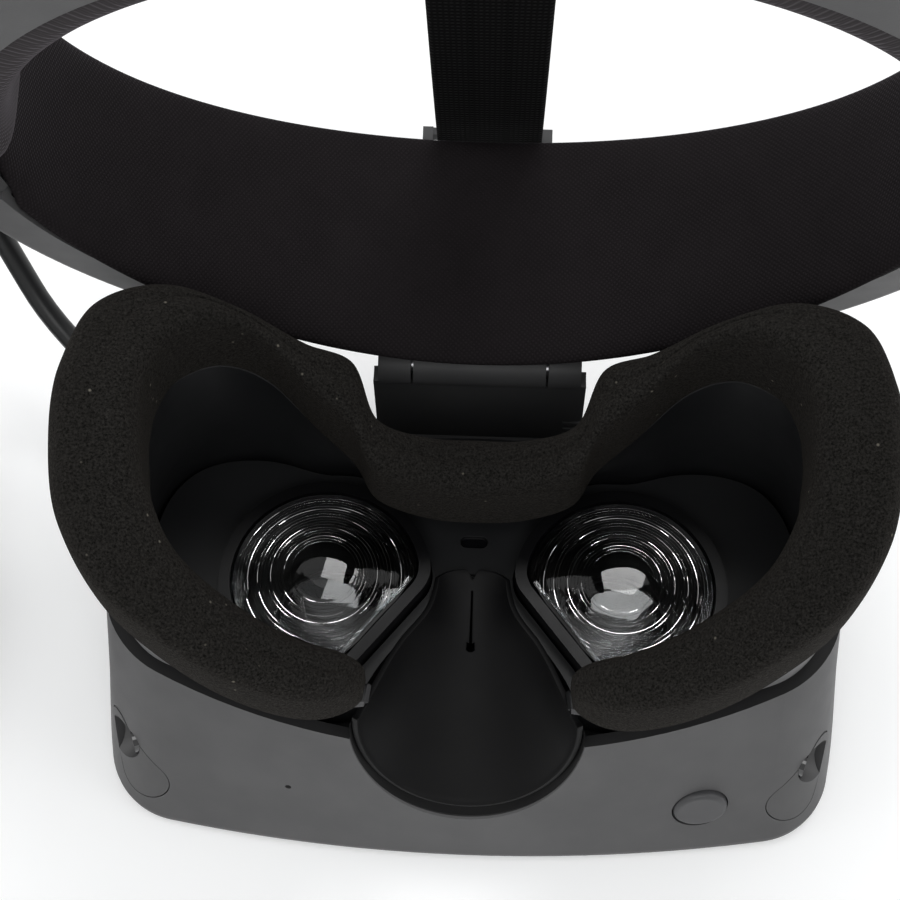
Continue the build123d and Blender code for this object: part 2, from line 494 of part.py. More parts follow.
rear_shell -= Pos(0, WHEEL_W0 - 6, WHEEL_N) * Rot(90, 0, 0) * Cylinder(AXLE_R + 0.06, 30)
GRIPS = 24
wheel = Pos(0, WHEEL_W0 + WHEEL_T / 2 - 0.6, WHEEL_N) * Rot(90, 0, 0) * Cylinder(WHEEL_R, WHEEL_T)
wheel = fillet(wheel.edges().filter_by(GeomType.CIRCLE).sort_by(Axis.Y)[-1], 2.0)
for i in range(GRIPS):
    angle = 2 * math.pi * i / GRIPS
    groove = Pos((WHEEL_R + 0.8) * math.cos(angle), WHEEL_W0 + WHEEL_T / 2 + 1.6,
                 WHEEL_N + (WHEEL_R + 0.8) * math.sin(angle))
    wheel -= groove * Rot(90, 0, 0) * Cylinder(1.5, WHEEL_T)
wheel -= Pos(0, WHEEL_W0 + 1.0, WHEEL_N) * Rot(90, 0, 0) * Cylinder(AXLE_R + 0.01, 14)
PINION_TEETH = 14
RACK_W = REAR_C + RACK_X
pinion = Pos(0, (RACK_W + WHEEL_W0 + 5.0) / 2 - 1.2, WHEEL_N) * Rot(90, 0, 0) * Cylinder(AXLE_R, WHEEL_W0 - RACK_W + 7.4)
pinion += Pos(0, RACK_W - 0.4, WHEEL_N) * Rot(90, 0, 0) * Cylinder(PINION_R - 3.4, 3.6)
for i in range(PINION_TEETH):
    turn = 360.0 * i / PINION_TEETH
    tooth = Rot(0, turn, 0) * Pos(0, 0, 2.0) * Box(0.7, 3.6, 1.5)
    pinion += Pos(0, RACK_W - 0.4, WHEEL_N) * tooth

# ---------------------------------------------------------------- top strap and its fittings
STRAP_ARC = [(-11.0, 28.6), (92.0, 22.6), (201.0, 19.4)]     # (back, up) along its middle line
BUCKLE_W, BUCKLE_BAR = 30.0, 2.4
STRAP_X = -0.5              # the strap hangs a little to the wearer's right in its loops


def strap_loop(back, up, depth):
    """Flat loop that the strap passes through, standing on the shell."""
    body = Pos(0, back, up - 1.6) * Box(BUCKLE_W, depth, 3.2) + Pos(0, back, up + 4.2) * Box(BUCKLE_W, 3.2, 1.8)
    for side in (1, -1):
        body += Pos(side * (BUCKLE_W - BUCKLE_BAR) / 2, back, up + 2.0) * Box(BUCKLE_BAR, 4.4, 6.2)
    return body


strap_path = ThreePointArc((STRAP_X, STRAP_ARC[0][0], STRAP_ARC[0][1] + 1.3), (STRAP_X, *STRAP_ARC[1]),
                           (STRAP_X, STRAP_ARC[2][0], STRAP_ARC[2][1] + 1.0))
strap_start = Plane(origin=strap_path @ 0, x_dir=(1, 0, 0), z_dir=strap_path % 0)
strap = sweep(strap_start.location * Rectangle(STRAP_W, STRAP_T), path=strap_path)
buckle = strap_loop(-12.0, 27.6, 9.0) - strap - fore_shell
buckle = buckle.solids().sort_by(SortBy.VOLUME)[-1]
anchor = strap_loop(REAR_C + 85.0, 18.4, 12.0) - strap - rear_shell
anchor = anchor.solids().sort_by(SortBy.VOLUME)[-1]

# ---------------------------------------------------------------- cable
CLIP_BACK, CLIP_UP, CLIP_X = 93.0, -2.0, 105.0
clip = Pos(CLIP_X, CLIP_BACK, CLIP_UP) * Rot(90, 0, 0) * (Cylinder(4.6, 14) - Cylinder(CORD_D / 2 + 0.05, 15))
clip += Pos(CLIP_X - 5.6, CLIP_BACK, CLIP_UP) * Box(6.0, 10, 5.0) - (
    Pos(CLIP_X, CLIP_BACK, CLIP_UP) * Rot(90, 0, 0) * Cylinder(CORD_D / 2 + 0.05, 15))
clip -= side_arm
clip = clip.solids().sort_by(SortBy.VOLUME)[-1]
clip_in = halo_point(CLIP_X, CLIP_BACK - 7.0, CLIP_UP)
before_clip = halo_point(CLIP_X, CLIP_BACK - 19.0, CLIP_UP)
after_clip = halo_point(CLIP_X, CLIP_BACK + 24.0, CLIP_UP)

LEAD_JOIN = Vector(-122.0, 84.0, 99.0)
join_way = Vector(1.3, -6.5, 18.85)
LEAD = [tuple(GLAND_TIP), (-104.5, 71.0, 31.0), (-118.0, 88.0, 52.0), (-123.0, 92.0, 76.0),
        tuple(LEAD_JOIN - join_way.normalized() * 0.12)]
LOOP = [tuple(LEAD_JOIN), tuple(LEAD_JOIN + join_way), (-116.0, 62.0, 140.0), tuple(before_clip), tuple(clip_in)]
COIL_AT = (-182.5, 5.0)
COIL_R, COIL_HALF, COIL_H = 38.5, 13.8, 22.0
FLOOR_Z = CORD_D / 2
TAIL = [tuple(clip_in), tuple(after_clip), (-110.0, 34.0, 216.0), (-126.0, 36.0, 232.0),
        (-146.0, 40.0, 224.0), (-158.0, 43.0, 190.0), (-161.0, 46.0, 134.0), (-158.0, 49.0, 78.0),
        (-152.0, 52.0, 36.0), (-143.0, 50.0, 10.0), (-131.0, 34.0, FLOOR_Z), (-127.1, 5.0, FLOOR_Z)]
TAIL_END = [(-189.5, 60.2, FLOOR_Z), (-170.0, 61.6, FLOOR_Z), (-156.0, 68.0, FLOOR_Z), (-154.5, 83.0, FLOOR_Z)]
SPLIT_LEN = 22.0
split_dir = (Vector(*TAIL_END[-1]) - Vector(*TAIL_END[-2])).normalized()
split_end = Vector(*TAIL_END[-1]) + split_dir * SPLIT_LEN
split_side = Vector(0, 0, 1).cross(split_dir)
BRANCH_Z = BRANCH_D / 2 + 1.4
near, far = split_end + split_side * 3.0, split_end - split_side * 3.0
near_out, far_out = near + split_dir * 16, far + split_dir * 20
DATA_BRANCH = [(near.X, near.Y, BRANCH_Z), (near_out.X, near_out.Y, BRANCH_Z), (-163.0, 137.0, BRANCH_Z),
               (-178.0, 139.0, BRANCH_Z), (-192.0, 135.0, BRANCH_Z)]
DISPLAY_BRANCH = [(far.X, far.Y, BRANCH_Z), (far_out.X, far_out.Y, BRANCH_Z), (-151.0, 145.0, BRANCH_Z),
                  (-166.0, 156.0, BRANCH_Z), (-182.0, 154.0, BRANCH_Z)]


def tube(name, points, diameter):
    """Straight runs joined by tangent arcs, each as large as its two runs allow."""
    p = [Vector(*q) for q in points]
    radii = []
    for a, b, c in zip(p, p[1:], p[2:]):
        turn = math.radians((b - a).get_angle(c - b))
        radii.append(0.45 * min((b - a).length, (c - b).length) / math.tan(turn / 2))
    path = FilletPolyline(*p, radius=radii)
    start = Plane(origin=path @ 0, z_dir=path % 0)
    solid = sweep(start.location * Circle(diameter / 2), path=path)
    ideal = math.pi * diameter ** 2 / 4 * path.length
    print(f"{name}: length {path.length:.0f}, radii {[round(r) for r in radii]}, volume ratio {solid.volume / ideal:.4f}")
    return solid


lead = tube("cable_lead", LEAD, CORD_D)
loop = tube("cable_loop", LOOP, CORD_D)
tail = tube("cable_tail", TAIL, CORD_D)
tail_end = tube("cable_end", TAIL_END, CORD_D)
data_branch = tube("data_branch", DATA_BRANCH, BRANCH_D)
display_branch = tube("display_branch", DISPLAY_BRANCH, BRANCH_D)
split_plane = Plane(origin=(TAIL_END[-1][0], TAIL_END[-1][1], 4.2), x_dir=split_side, z_dir=split_dir)
splitter = extrude(split_plane.location * RectangleRounded(13.0, 8.0, 3.0), SPLIT_LEN, dir=tuple(split_dir))


def plug(route, body, nose):
    """Moulded plug body and its metal nose (length, width, height), at the end of a branch."""
    end, before = Vector(*route[-1]), Vector(*route[-2])
    way = (end - before).normalized()
    across = Vector(0, 0, 1).cross(way)
    plane = Plane(origin=(end.X, end.Y, body[2] / 2), x_dir=across, z_dir=way)
    moulded = extrude(plane.location * RectangleRounded(body[1], body[2], 2.5), body[0], dir=tuple(way))
    metal = extrude(plane.location * Pos(0, 0, body[0]) * RectangleRounded(nose[1], nose[2], 0.8), nose[0], dir=tuple(way))
    return moulded, metal


data_plug, data_nose = plug(DATA_BRANCH, (27.0, 15.0, 7.6), (12.0, 12.0, 4.5))
display_plug, display_nose = plug(DISPLAY_BRANCH, (33.0, 19.0, 9.5), (9.5, 15.8, 4.8))
coil_section = Pos(COIL_R, 0, COIL_H / 2) * Rot(90, 0, 0) * RectangleRounded(2 * COIL_HALF, COIL_H, 7)
coil = Pos(*COIL_AT) * revolve(coil_section, Axis.Z)
TIE_ANGLES = (50.0, 230.0)
ties = []
for angle in TIE_ANGLES:
    wrap = Pos(COIL_R, 0, COIL_H / 2) * (Box(2 * COIL_HALF + 1.6, 12, COIL_H) - Box(2 * COIL_HALF, 13, COIL_H - 1.6))
    ties.append(Pos(*COIL_AT) * Rot(0, 0, angle) * wrap)
    coil -= ties[-1]

# ---------------------------------------------------------------- write the parts
nodes = {}


def node(name, *shapes):
    solids = [s for shape in shapes for s in shape.solids()]
    nodes[name] = solids[0] if len(solids) == 1 else Compound(children=solids)
    nodes[name].label = name


node("front_shell", shell)
node("nose_flap", flap)
node("side_bezels", bezel, mirrored(bezel))
node("camera_windows", side_window, mirrored(side_window), front_window, mirrored(front_window), top_window)
node("camera_modules", side_module, mirrored(side_module), front_module, mirrored(front_module), top_module)
node("cable_gland", gland)
node("inner_housing", housing)
node("face_frame", frame)
node("face_foam", foam)
node("lens_panel", panel)
node("lens_right", lens)
node("lens_left", mirrored(lens))
node("lens_ring_right", ring)
node("lens_ring_left", mirrored(ring))
node("proximity_window", prox)
node("chassis", chassis)
node("chassis_screws", *screws)
node("display_panel", display)
node("heat_plate", heat_plate)
node("main_board", board)
node("depth_rail", rail)
node("depth_button", button)
node("button_spring", spring)
node("latch_rod", rod)
node("latch_lever", lever)
node("lever_pin", lever_pin)
node("visor_arm", arm)
node("hinge_pin", hinge_pin)
node("hinge_bracket", hinge_bracket)
node("forehead_pad", on_halo(pad))
node("forehead_plate", on_halo(plate))
node("forehead_shell", on_halo(fore_shell))
node("side_arm_left", on_halo(arm_solids["left"]))
node("side_arm_right", on_halo(arm_solids["right"]))
node("speaker_left", on_halo(speaker))
node("speaker_right", on_halo(mirrored(speaker)))
node("speaker_grilles", on_halo(grille), on_halo(mirrored(grille)))
node("rack_left", on_halo(racks["left"]))
node("rack_right", on_halo(racks["right"]))
node("rear_pad", on_halo(rear_pad))
node("rear_liner", on_halo(rear_liner))
node("rear_shell", on_halo(rear_shell))
node("fit_wheel", on_halo(wheel))
node("drive_pinion", on_halo(pinion))
node("strap_buckle", on_halo(buckle))
node("strap_anchor", on_halo(anchor))
node("top_strap", on_halo(strap))
node("cable_clip", on_halo(clip))
node("cable_lead", lead)
node("cable_loop", loop)
node("cable_tail", tail)
node("cable_end", tail_end)
node("cable_coil", coil)
node("cable_tie", *ties)
node("cable_splitter", splitter)
node("data_branch", data_branch)
node("display_branch", display_branch)
node("data_plug", data_plug)
node("display_plug", display_plug)
node("plug_noses", data_nose, display_nose)

os.makedirs("parts", exist_ok=True)
for name, shape in nodes.items():
    export_step(shape, f"parts/{name}.step")
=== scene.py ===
"""Looks of the head-worn display: fabric, foam, rubber, lenses and cable over its CAD frame."""
import math

import bpy
import numpy as np
from mathutils import Matrix, Vector
from mathutils.bvhtree import BVHTree


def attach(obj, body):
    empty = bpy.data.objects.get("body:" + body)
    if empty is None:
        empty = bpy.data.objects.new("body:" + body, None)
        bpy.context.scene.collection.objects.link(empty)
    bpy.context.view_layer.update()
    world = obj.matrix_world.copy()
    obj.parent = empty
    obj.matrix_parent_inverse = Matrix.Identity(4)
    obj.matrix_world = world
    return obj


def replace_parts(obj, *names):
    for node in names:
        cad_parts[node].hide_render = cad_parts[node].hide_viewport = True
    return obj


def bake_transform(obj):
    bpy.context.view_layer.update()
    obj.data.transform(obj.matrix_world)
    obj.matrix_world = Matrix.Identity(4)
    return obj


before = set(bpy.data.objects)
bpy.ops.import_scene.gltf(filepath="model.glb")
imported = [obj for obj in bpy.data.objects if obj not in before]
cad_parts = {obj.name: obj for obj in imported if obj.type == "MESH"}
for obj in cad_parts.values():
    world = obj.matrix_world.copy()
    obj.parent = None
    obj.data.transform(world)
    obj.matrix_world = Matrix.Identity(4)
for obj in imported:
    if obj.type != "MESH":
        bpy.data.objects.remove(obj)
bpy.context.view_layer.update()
MM = 0.001
scene = bpy.context.scene
scene.view_settings.view_transform = "Standard"

# ---------------------------------------------------------------- camera
# It looks along the row's y axis and down; yaw turns it about the vertical, roll about its own axis.
CAM_AT = Vector((0.004, -0.15145, 0.41887))
DOWN, YAW, ROLL = math.radians(63.26), math.radians(-3.17), math.radians(-1.0)
look = Vector((math.sin(YAW) * math.cos(DOWN), math.cos(YAW) * math.cos(DOWN), -math.sin(DOWN)))
side = Vector((math.cos(YAW), -math.sin(YAW), 0))
up = side.cross(look)
right = side * math.cos(ROLL) + up * math.sin(ROLL)
over = -side * math.sin(ROLL) + up * math.cos(ROLL)
camera = bpy.data.objects.new("camera", bpy.data.cameras.new("camera"))
scene.collection.objects.link(camera)
camera.matrix_world = Matrix(((right.x, over.x, -look.x, CAM_AT.x), (right.y, over.y, -look.y, CAM_AT.y),
                              (right.z, over.z, -look.z, CAM_AT.z), (0, 0, 0, 1)))
camera.data.sensor_width = 36
camera.data.lens = 72
camera.data.clip_start = 0.01
scene.camera = camera


# ---------------------------------------------------------------- materials
def material(name, color, rough, **sockets):
    """New material with its tree and its shader; other sockets are named with _ for a space."""
    m = bpy.data.materials.new(name)
    m.use_nodes = True
    shader = m.node_tree.nodes["Principled BSDF"]
    shader.inputs["Base Color"].default_value = (*color, 1)
    shader.inputs["Roughness"].default_value = rough
    for key, value in sockets.items():
        shader.inputs[key.replace("_", " ")].default_value = value
    return m, m.node_tree, shader


def new(tree, kind, **values):
    """New node, with values for its sockets or its own settings."""
    node = tree.nodes.new(kind)
    for key, value in values.items():
        if key in node.inputs:
            node.inputs[key].default_value = value
        else:
            setattr(node, key, value)
    return node


def coords(tree, kind="Object"):
    """Texture coordinates of that kind."""
    return tree.nodes.new("ShaderNodeTexCoord").outputs[kind]


def noise(tree, vector, scale, detail=2.0, rough=0.5):
    """Noise from 0 to 1 over a vector."""
    node = new(tree, "ShaderNodeTexNoise")
    node.inputs["Scale"].default_value = scale
    node.inputs["Detail"].default_value = detail
    node.inputs["Roughness"].default_value = rough
    tree.links.new(vector, node.inputs["Vector"])
    return node.outputs["Fac"]


def ramp(tree, fac, stops):
    """Colour by factor, from a list of (position, colour)."""
    node = tree.nodes.new("ShaderNodeValToRGB")
    tree.links.new(fac, node.inputs["Fac"])
    elements = node.color_ramp.elements
    while len(elements) < len(stops):
        elements.new(0.5)
    for element, (at, color) in zip(elements, stops):
        element.position = at
        element.color = (*color, 1)
    return node.outputs["Color"]


def math_node(tree, operation, a, b):
    """Result of an operation on two numbers or outputs."""
    node = tree.nodes.new("ShaderNodeMath")
    node.operation = operation
    for socket, value in zip(node.inputs, (a, b)):
        if isinstance(value, (int, float)):
            socket.default_value = value
        else:
            tree.links.new(value, socket)
    return node.outputs[0]


def bump(tree, shader, height, distance, strength):
    """Relief of that distance in metres, from a height of 0 to 1."""
    node = tree.nodes.new("ShaderNodeBump")
    node.inputs["Distance"].default_value = distance
    node.inputs["Strength"].default_value = strength
    tree.links.new(height, node.inputs["Height"])
    tree.links.new(node.outputs["Normal"], shader.inputs["Normal"])


def vary(tree, shader, fac, low, high, at=(0.35, 0.65)):
    """Base colour from low to high, over that stretch of the factor."""
    tree.links.new(ramp(tree, fac, [(at[0], low), (at[1], high)]), shader.inputs["Base Color"])


def moulded(name, low, high, rough, grain=2600.0, depth=0.00002, **sockets):
    """Moulded plastic: fine spark-eroded grain, faint blotches in colour and gloss."""
    m, tree, shader = material(name, low, rough, **sockets)
    at = coords(tree)
    vary(tree, shader, noise(tree, at, 60, 3), low, high)
    gloss = noise(tree, at, 140, 3)
    spread = 0.14                                            # whole range of roughness
    varied = math_node(tree, "MULTIPLY_ADD", gloss, spread)
    varied.node.inputs[2].default_value = rough - spread / 2
    tree.links.new(varied, shader.inputs["Roughness"])
    bump(tree, shader, noise(tree, at, grain, 2), depth, 0.5)
    return m


shell_grey = moulded("shell_grey_plastic", (0.056, 0.0555, 0.0575), (0.066, 0.0655, 0.0675), 0.52)
bezel_grey = moulded("bezel_grey_plastic", (0.05, 0.0495, 0.051), (0.059, 0.0585, 0.06), 0.5)
band_grey = moulded("band_grey_plastic", (0.046, 0.0455, 0.047), (0.054, 0.0535, 0.055), 0.5)
button_grey = moulded("button_grey_plastic", (0.045, 0.045, 0.048), (0.055, 0.055, 0.058), 0.45)
frame_outside = moulded("frame_grey_plastic", (0.06, 0.0595, 0.062), (0.07, 0.0695, 0.072), 0.42)
inner_black = moulded("inner_black_plastic", (0.0068, 0.0072, 0.0082), (0.0095, 0.01, 0.011), 0.5,
                      Specular_IOR_Level=0.4)
frame_grey = moulded("frame_black_plastic", (0.006, 0.0062, 0.007), (0.008, 0.0083, 0.009), 0.42,
                     Specular_IOR_Level=0.3)
ring_black = moulded("ring_black_plastic", (0.0025, 0.0025, 0.003), (0.004, 0.004, 0.0045), 0.35,
                     Specular_IOR_Level=0.2)
arm_black = moulded("arm_black_plastic", (0.05, 0.0505, 0.052), (0.056, 0.0565, 0.058), 0.55,
                    Specular_IOR_Level=0.4)
structure = moulded("structure_plastic", (0.02, 0.02, 0.022), (0.03, 0.03, 0.032), 0.5)
flap_rubber = moulded("flap_rubber", (0.0032, 0.0032, 0.0035), (0.0048, 0.0048, 0.0051), 0.5, 3200, 0.000015,
                      Specular_IOR_Level=0.13)
cable_rubber = moulded("cable_rubber", (0.009, 0.0095, 0.01), (0.013, 0.0135, 0.014), 0.38, 2000, 0.00001,
                       Specular_IOR_Level=0.4)


# The cover's rim gets painted shade, near-black, for the shadowed gap between it and the face frame.
RIM_FROM = 0.042                # height in metres from which a face may be the rim's
LOOKS_BACK = 0.8                # least share of a normal toward the wearer for a face to be the rim's


def shade_painted_on_rim(m):
    """Painted shade on the cover's rim: its faces that look back toward the wearer, high on the cover, are painted
    near-black for the shadowed gap at the face frame.
    """
    tree = m.node_tree
    shader = tree.nodes["Principled BSDF"]
    where = new(tree, "ShaderNodeSeparateXYZ")
    tree.links.new(coords(tree), where.inputs[0])
    facing = new(tree, "ShaderNodeSeparateXYZ")
    tree.links.new(coords(tree, "Normal"), facing.inputs[0])
    high = math_node(tree, "GREATER_THAN", where.outputs[2], RIM_FROM)
    flat = math_node(tree, "GREATER_THAN", facing.outputs[2], LOOKS_BACK)
    mix = new(tree, "ShaderNodeMix", data_type="RGBA")
    tree.links.new(math_node(tree, "MULTIPLY", high, flat), mix.inputs[0])
    tree.links.new(shader.inputs["Base Color"].links[0].from_socket, mix.inputs[6])
    # near-black painted shade for the shadowed gap at the face frame
    mix.inputs[7].default_value = (0.003, 0.003, 0.0035, 1)
    tree.links.new(mix.outputs[2], shader.inputs["Base Color"])


def foam_material():
    """Flocked foam: fine cells, fuzz, and a few caught fibres."""
    m, tree, shader = material("flocked_foam", (0.02, 0.018, 0.016), 0.95, Sheen_Weight=0.035, Sheen_Roughness=0.6)
    shader.inputs["Sheen Tint"].default_value = (0.6, 0.52, 0.45, 1)
    shader.inputs["Specular IOR Level"].default_value = 0.05
    at = coords(tree)
    cells = new(tree, "ShaderNodeTexVoronoi", Scale=1500.0)
    tree.links.new(at, cells.inputs["Vector"])
    fuzz = noise(tree, at, 2000, 4, 0.75)
    base = ramp(tree, fuzz, [(0.36, (0.0022, 0.0022, 0.0021)), (0.68, (0.028, 0.0268, 0.0247))])
    specks = new(tree, "ShaderNodeTexVoronoi", Scale=420.0)
    tree.links.new(at, specks.inputs["Vector"])
    near = ramp(tree, specks.outputs["Distance"], [(0.06, (1, 1, 1)), (0.16, (0, 0, 0))])
    chosen = new(tree, "ShaderNodeSeparateColor")            # one cell in ten holds a fibre
    tree.links.new(specks.outputs["Color"], chosen.inputs["Color"])
    lint = math_node(tree, "MULTIPLY", near, math_node(tree, "GREATER_THAN", chosen.outputs[0], 0.9))
    mix = new(tree, "ShaderNodeMix", data_type="RGBA")
    tree.links.new(math_node(tree, "MULTIPLY", lint, 0.5), mix.inputs[0])
    tree.links.new(base, mix.inputs[6])
    mix.inputs[7].default_value = (0.26, 0.24, 0.2, 1)
    tree.links.new(mix.outputs[2], shader.inputs["Base Color"])
    height = math_node(tree, "ADD", fuzz, math_node(tree, "MULTIPLY", cells.outputs["Distance"], 0.6))
    bump(tree, shader, height, 0.0004, 0.9)
    return m


WAVE_PERIOD = 20                # the wave texture repeats every 2 pi / 20 at a scale of 1


def fabric_material(name, low, high, pitch, sheen=0.09):
    """Knitted or woven cloth: a twill of that pitch in metres, over UV laid out in metres."""
    m, tree, shader = material(name, low, 0.85, Sheen_Weight=sheen, Sheen_Roughness=0.3)
    shader.inputs["Sheen Tint"].default_value = (0.8, 0.72, 0.82, 1)
    shader.inputs["Specular IOR Level"].default_value = 0.06
    uv = coords(tree, "UV")
    waves = []
    per_metre = 2 * math.pi / pitch / WAVE_PERIOD
    for turn in (math.radians(38), math.radians(-52)):
        spin = new(tree, "ShaderNodeMapping")
        spin.inputs["Rotation"].default_value = (0, 0, turn)
        tree.links.new(uv, spin.inputs["Vector"])
        wave = new(tree, "ShaderNodeTexWave", Scale=per_metre, Distortion=0.6)
        wave.inputs["Detail"].default_value = 1.0
        wave.inputs["Detail Scale"].default_value = 2.0
        tree.links.new(spin.outputs["Vector"], wave.inputs["Vector"])
        waves.append(wave.outputs["Fac"])
    weave = math_node(tree, "MULTIPLY", waves[0], waves[1])
    blotch = noise(tree, coords(tree), 90, 4)
    fac = math_node(tree, "ADD", math_node(tree, "MULTIPLY", weave, 0.6), math_node(tree, "MULTIPLY", blotch, 0.4))
    vary(tree, shader, fac, low, high, (0.15, 0.75))
    bump(tree, shader, weave, 0.00016, 0.6)
    return m


def webbing_material():
    """Ribbed polyester webbing, with one stitched line to each side of its middle."""
    line_at, line_half = 0.0035, 0.0007
    m, tree, shader = material("strap_webbing", (0.006, 0.006, 0.0065), 0.8, Sheen_Weight=0.02, Specular_IOR_Level=0.05)
    uv = coords(tree, "UV")
    height = None
    for axis, pitch in ((0, 0.0011), (1, 0.0016)):
        wave = new(tree, "ShaderNodeTexWave", Scale=2 * math.pi / pitch / WAVE_PERIOD, Distortion=0.3)
        wave.bands_direction = "XY"[axis]
        tree.links.new(uv, wave.inputs["Vector"])
        height = wave.outputs["Fac"] if height is None else math_node(tree, "MULTIPLY", height, wave.outputs["Fac"])
    split = new(tree, "ShaderNodeSeparateXYZ")
    tree.links.new(uv, split.inputs["Vector"])
    off = math_node(tree, "ABSOLUTE", split.outputs[0], 0)
    line = math_node(tree, "COMPARE", off, line_at)
    line.node.inputs[2].default_value = line_half
    shade = math_node(tree, "SUBTRACT", height, math_node(tree, "MULTIPLY", line, 0.8))
    vary(tree, shader, shade, (0.0015, 0.0015, 0.0016), (0.0065, 0.0062, 0.0065), (0.0, 0.8))
    bump(tree, shader, shade, 0.0002, 0.9)
    return m


def metal_material(name, color, rough):
    """Bare metal with a faint grain."""
    m, tree, shader = material(name, color, rough, Metallic=1.0)
    bump(tree, shader, noise(tree, coords(tree), 1500, 3), 0.00001, 0.6)
    vary(tree, shader, noise(tree, coords(tree), 200, 2), tuple(0.9 * c for c in color), color)
    return m


foam_black = foam_material()
pad_knit = fabric_material("pad_knit", (0.0105, 0.009, 0.0098), (0.0185, 0.0158, 0.0172), 0.0008)
rear_knit = fabric_material("rear_knit", (0.03, 0.0275, 0.0285), (0.042, 0.0385, 0.04), 0.0008, 0.14)
webbing = webbing_material()
steel = metal_material("bright_steel", (0.55, 0.55, 0.57), 0.3)
aluminium = metal_material("bare_aluminium", (0.6, 0.6, 0.62), 0.4)
board_green = moulded("board_green", (0.01, 0.05, 0.028), (0.014, 0.06, 0.034), 0.4)
window_glass, _, shader = material("camera_glass", (0.004, 0.004, 0.005), 0.08, Coat_Weight=1.0)
shader.inputs["Coat Roughness"].default_value = 0.03
display_dark, _, shader = material("display_dark", (0.012, 0.012, 0.014), 0.2)
lens_clear, _, shader = material("lens_clear", (0.93, 0.95, 0.96), 0.03, Transmission_Weight=1.0)
shader.inputs["IOR"].default_value = 1.49

MATERIAL_OF = {
    shell_grey: "front_shell",
    bezel_grey: "side_bezels",
    band_grey: "forehead_shell side_arm_left side_arm_right rear_shell",
    button_grey: "depth_button fit_wheel",
    window_glass: "camera_windows proximity_window",
    inner_black: "camera_modules inner_housing lens_panel forehead_plate speaker_left speaker_right speaker_grilles "
                 "rear_liner",
    ring_black: "lens_ring_right lens_ring_left",
    arm_black: "visor_arm hinge_bracket rack_left rack_right strap_buckle strap_anchor cable_clip cable_tie",
    structure: "chassis depth_rail latch_rod latch_lever drive_pinion",
    flap_rubber: "cable_gland cable_splitter data_plug display_plug nose_flap",
    steel: "chassis_screws button_spring lever_pin hinge_pin plug_noses",
    display_dark: "display_panel",
    aluminium: "heat_plate",
    board_green: "main_board",
    frame_grey: "face_frame",
    foam_black: "face_foam",
    pad_knit: "forehead_pad",
    rear_knit: "rear_pad",
    webbing: "top_strap",
    lens_clear: "lens_right lens_left",
    cable_rubber: "cable_lead cable_loop cable_tail cable_end cable_coil data_branch display_branch",
}
# the cover's rim gets painted shade, near-black, for the gap at the face frame
shade_painted_on_rim(shell_grey)
for m, nodes in MATERIAL_OF.items():
    for node in nodes.split():
        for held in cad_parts[node].material_slots:
            held.material = m


# ---------------------------------------------------------------- mesh helpers
def piece(name, verts, faces, m, body, slot, sharp=35.0, uv=None):
    """New mesh object of a material, on a body if one is given."""
    mesh = bpy.data.meshes.new(name)
    mesh.from_pydata([tuple(v) for v in verts], [], faces)
    if uv is not None:
        layer = mesh.uv_layers.new(name="UVMap")
        for loop in mesh.loops:
            layer.data[loop.index].uv = uv[loop.vertex_index]
    mesh.update()
    mesh.materials.append(m)
    mesh.polygons.foreach_set("use_smooth", [True] * len(mesh.polygons))
    mesh.set_sharp_from_angle(angle=math.radians(sharp))
    o = bpy.data.objects.new(name, mesh)
    scene.collection.objects.link(o)
    if body:
        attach(o, body)
    return o


def skin(rings, caps=True):
    """Vertices and faces of a skin over closed rows of points."""
    rows, cols = len(rings), len(rings[0])
    verts = [p for ring in rings for p in ring]
    faces = []
    for i in range(rows - 1):
        for j in range(cols):
            k = (j + 1) % cols
            faces.append((i * cols + j, i * cols + k, (i + 1) * cols + k, (i + 1) * cols + j))
    if caps:
        faces.append(tuple(reversed(range(cols))))
        faces.append(tuple((rows - 1) * cols + j for j in range(cols)))
    return verts, faces


def fair(values, count):
    """Smooth curve through rows of numbers, at count places evenly spaced along them."""
    v = np.asarray(values, float)
    gaps = np.linalg.norm(np.diff(v[:, :2], axis=0), axis=1) + 1e-6
    s = np.concatenate([[0], np.cumsum(gaps)])
    slope = np.zeros_like(v)
    behind, ahead = gaps[:-1, None], gaps[1:, None]
    slope[1:-1] = ((v[1:-1] - v[:-2]) / behind * ahead + (v[2:] - v[1:-1]) / ahead * behind) / (behind + ahead)
    slope[0], slope[-1] = (v[1] - v[0]) / gaps[0], (v[-1] - v[-2]) / gaps[-1]
    t = np.linspace(0, s[-1], count)
    i = np.clip(np.searchsorted(s, t, side="right") - 1, 0, len(gaps) - 1)
    h = gaps[i][:, None]
    u = ((t - s[i]) / gaps[i])[:, None]
    return ((2 * u**3 - 3 * u**2 + 1) * v[i] + (u**3 - 2 * u**2 + u) * h * slope[i]
            + (-2 * u**3 + 3 * u**2) * v[i + 1] + (u**3 - u**2) * h * slope[i + 1])


def rounded_box(w, h, radii, arc=6, side=3):
    """Closed outline of a box w by h from its corner (0, 0), with a radius for each corner, anticlockwise."""
    corners = [(0, 0, math.pi), (w, 0, 1.5 * math.pi), (w, h, 0), (0, h, 0.5 * math.pi)]
    points = []
    for (x, y, start), r in zip(corners, radii):
        cx, cy = (r if x == 0 else w - r), (r if y == 0 else h - r)
        points.append([(cx + r * math.cos(start + a), cy + r * math.sin(start + a))
                       for a in np.linspace(0, math.pi / 2, arc)])
    outline = []
    for k, corner in enumerate(points):
        outline += corner
        a, b = corner[-1], points[(k + 1) % 4][0]
        outline += [(a[0] + (b[0] - a[0]) * t, a[1] + (b[1] - a[1]) * t)
                    for t in np.linspace(0, 1, side + 2)[1:-1]]
    return outline


# ---------------------------------------------------------------- cable
CORD_D, BRANCH_D = 5.5 * MM, 3.6 * MM
LEAN = math.radians(14.6)       # how far the headband leans back


def halo(x, back, up):
    """Row-frame point for headband coordinates in millimetres."""
    return (-x * MM, (68.8 - math.sin(LEAN) * back + math.cos(LEAN) * up) * MM,
            (81.1 + math.cos(LEAN) * back + math.sin(LEAN) * up) * MM)


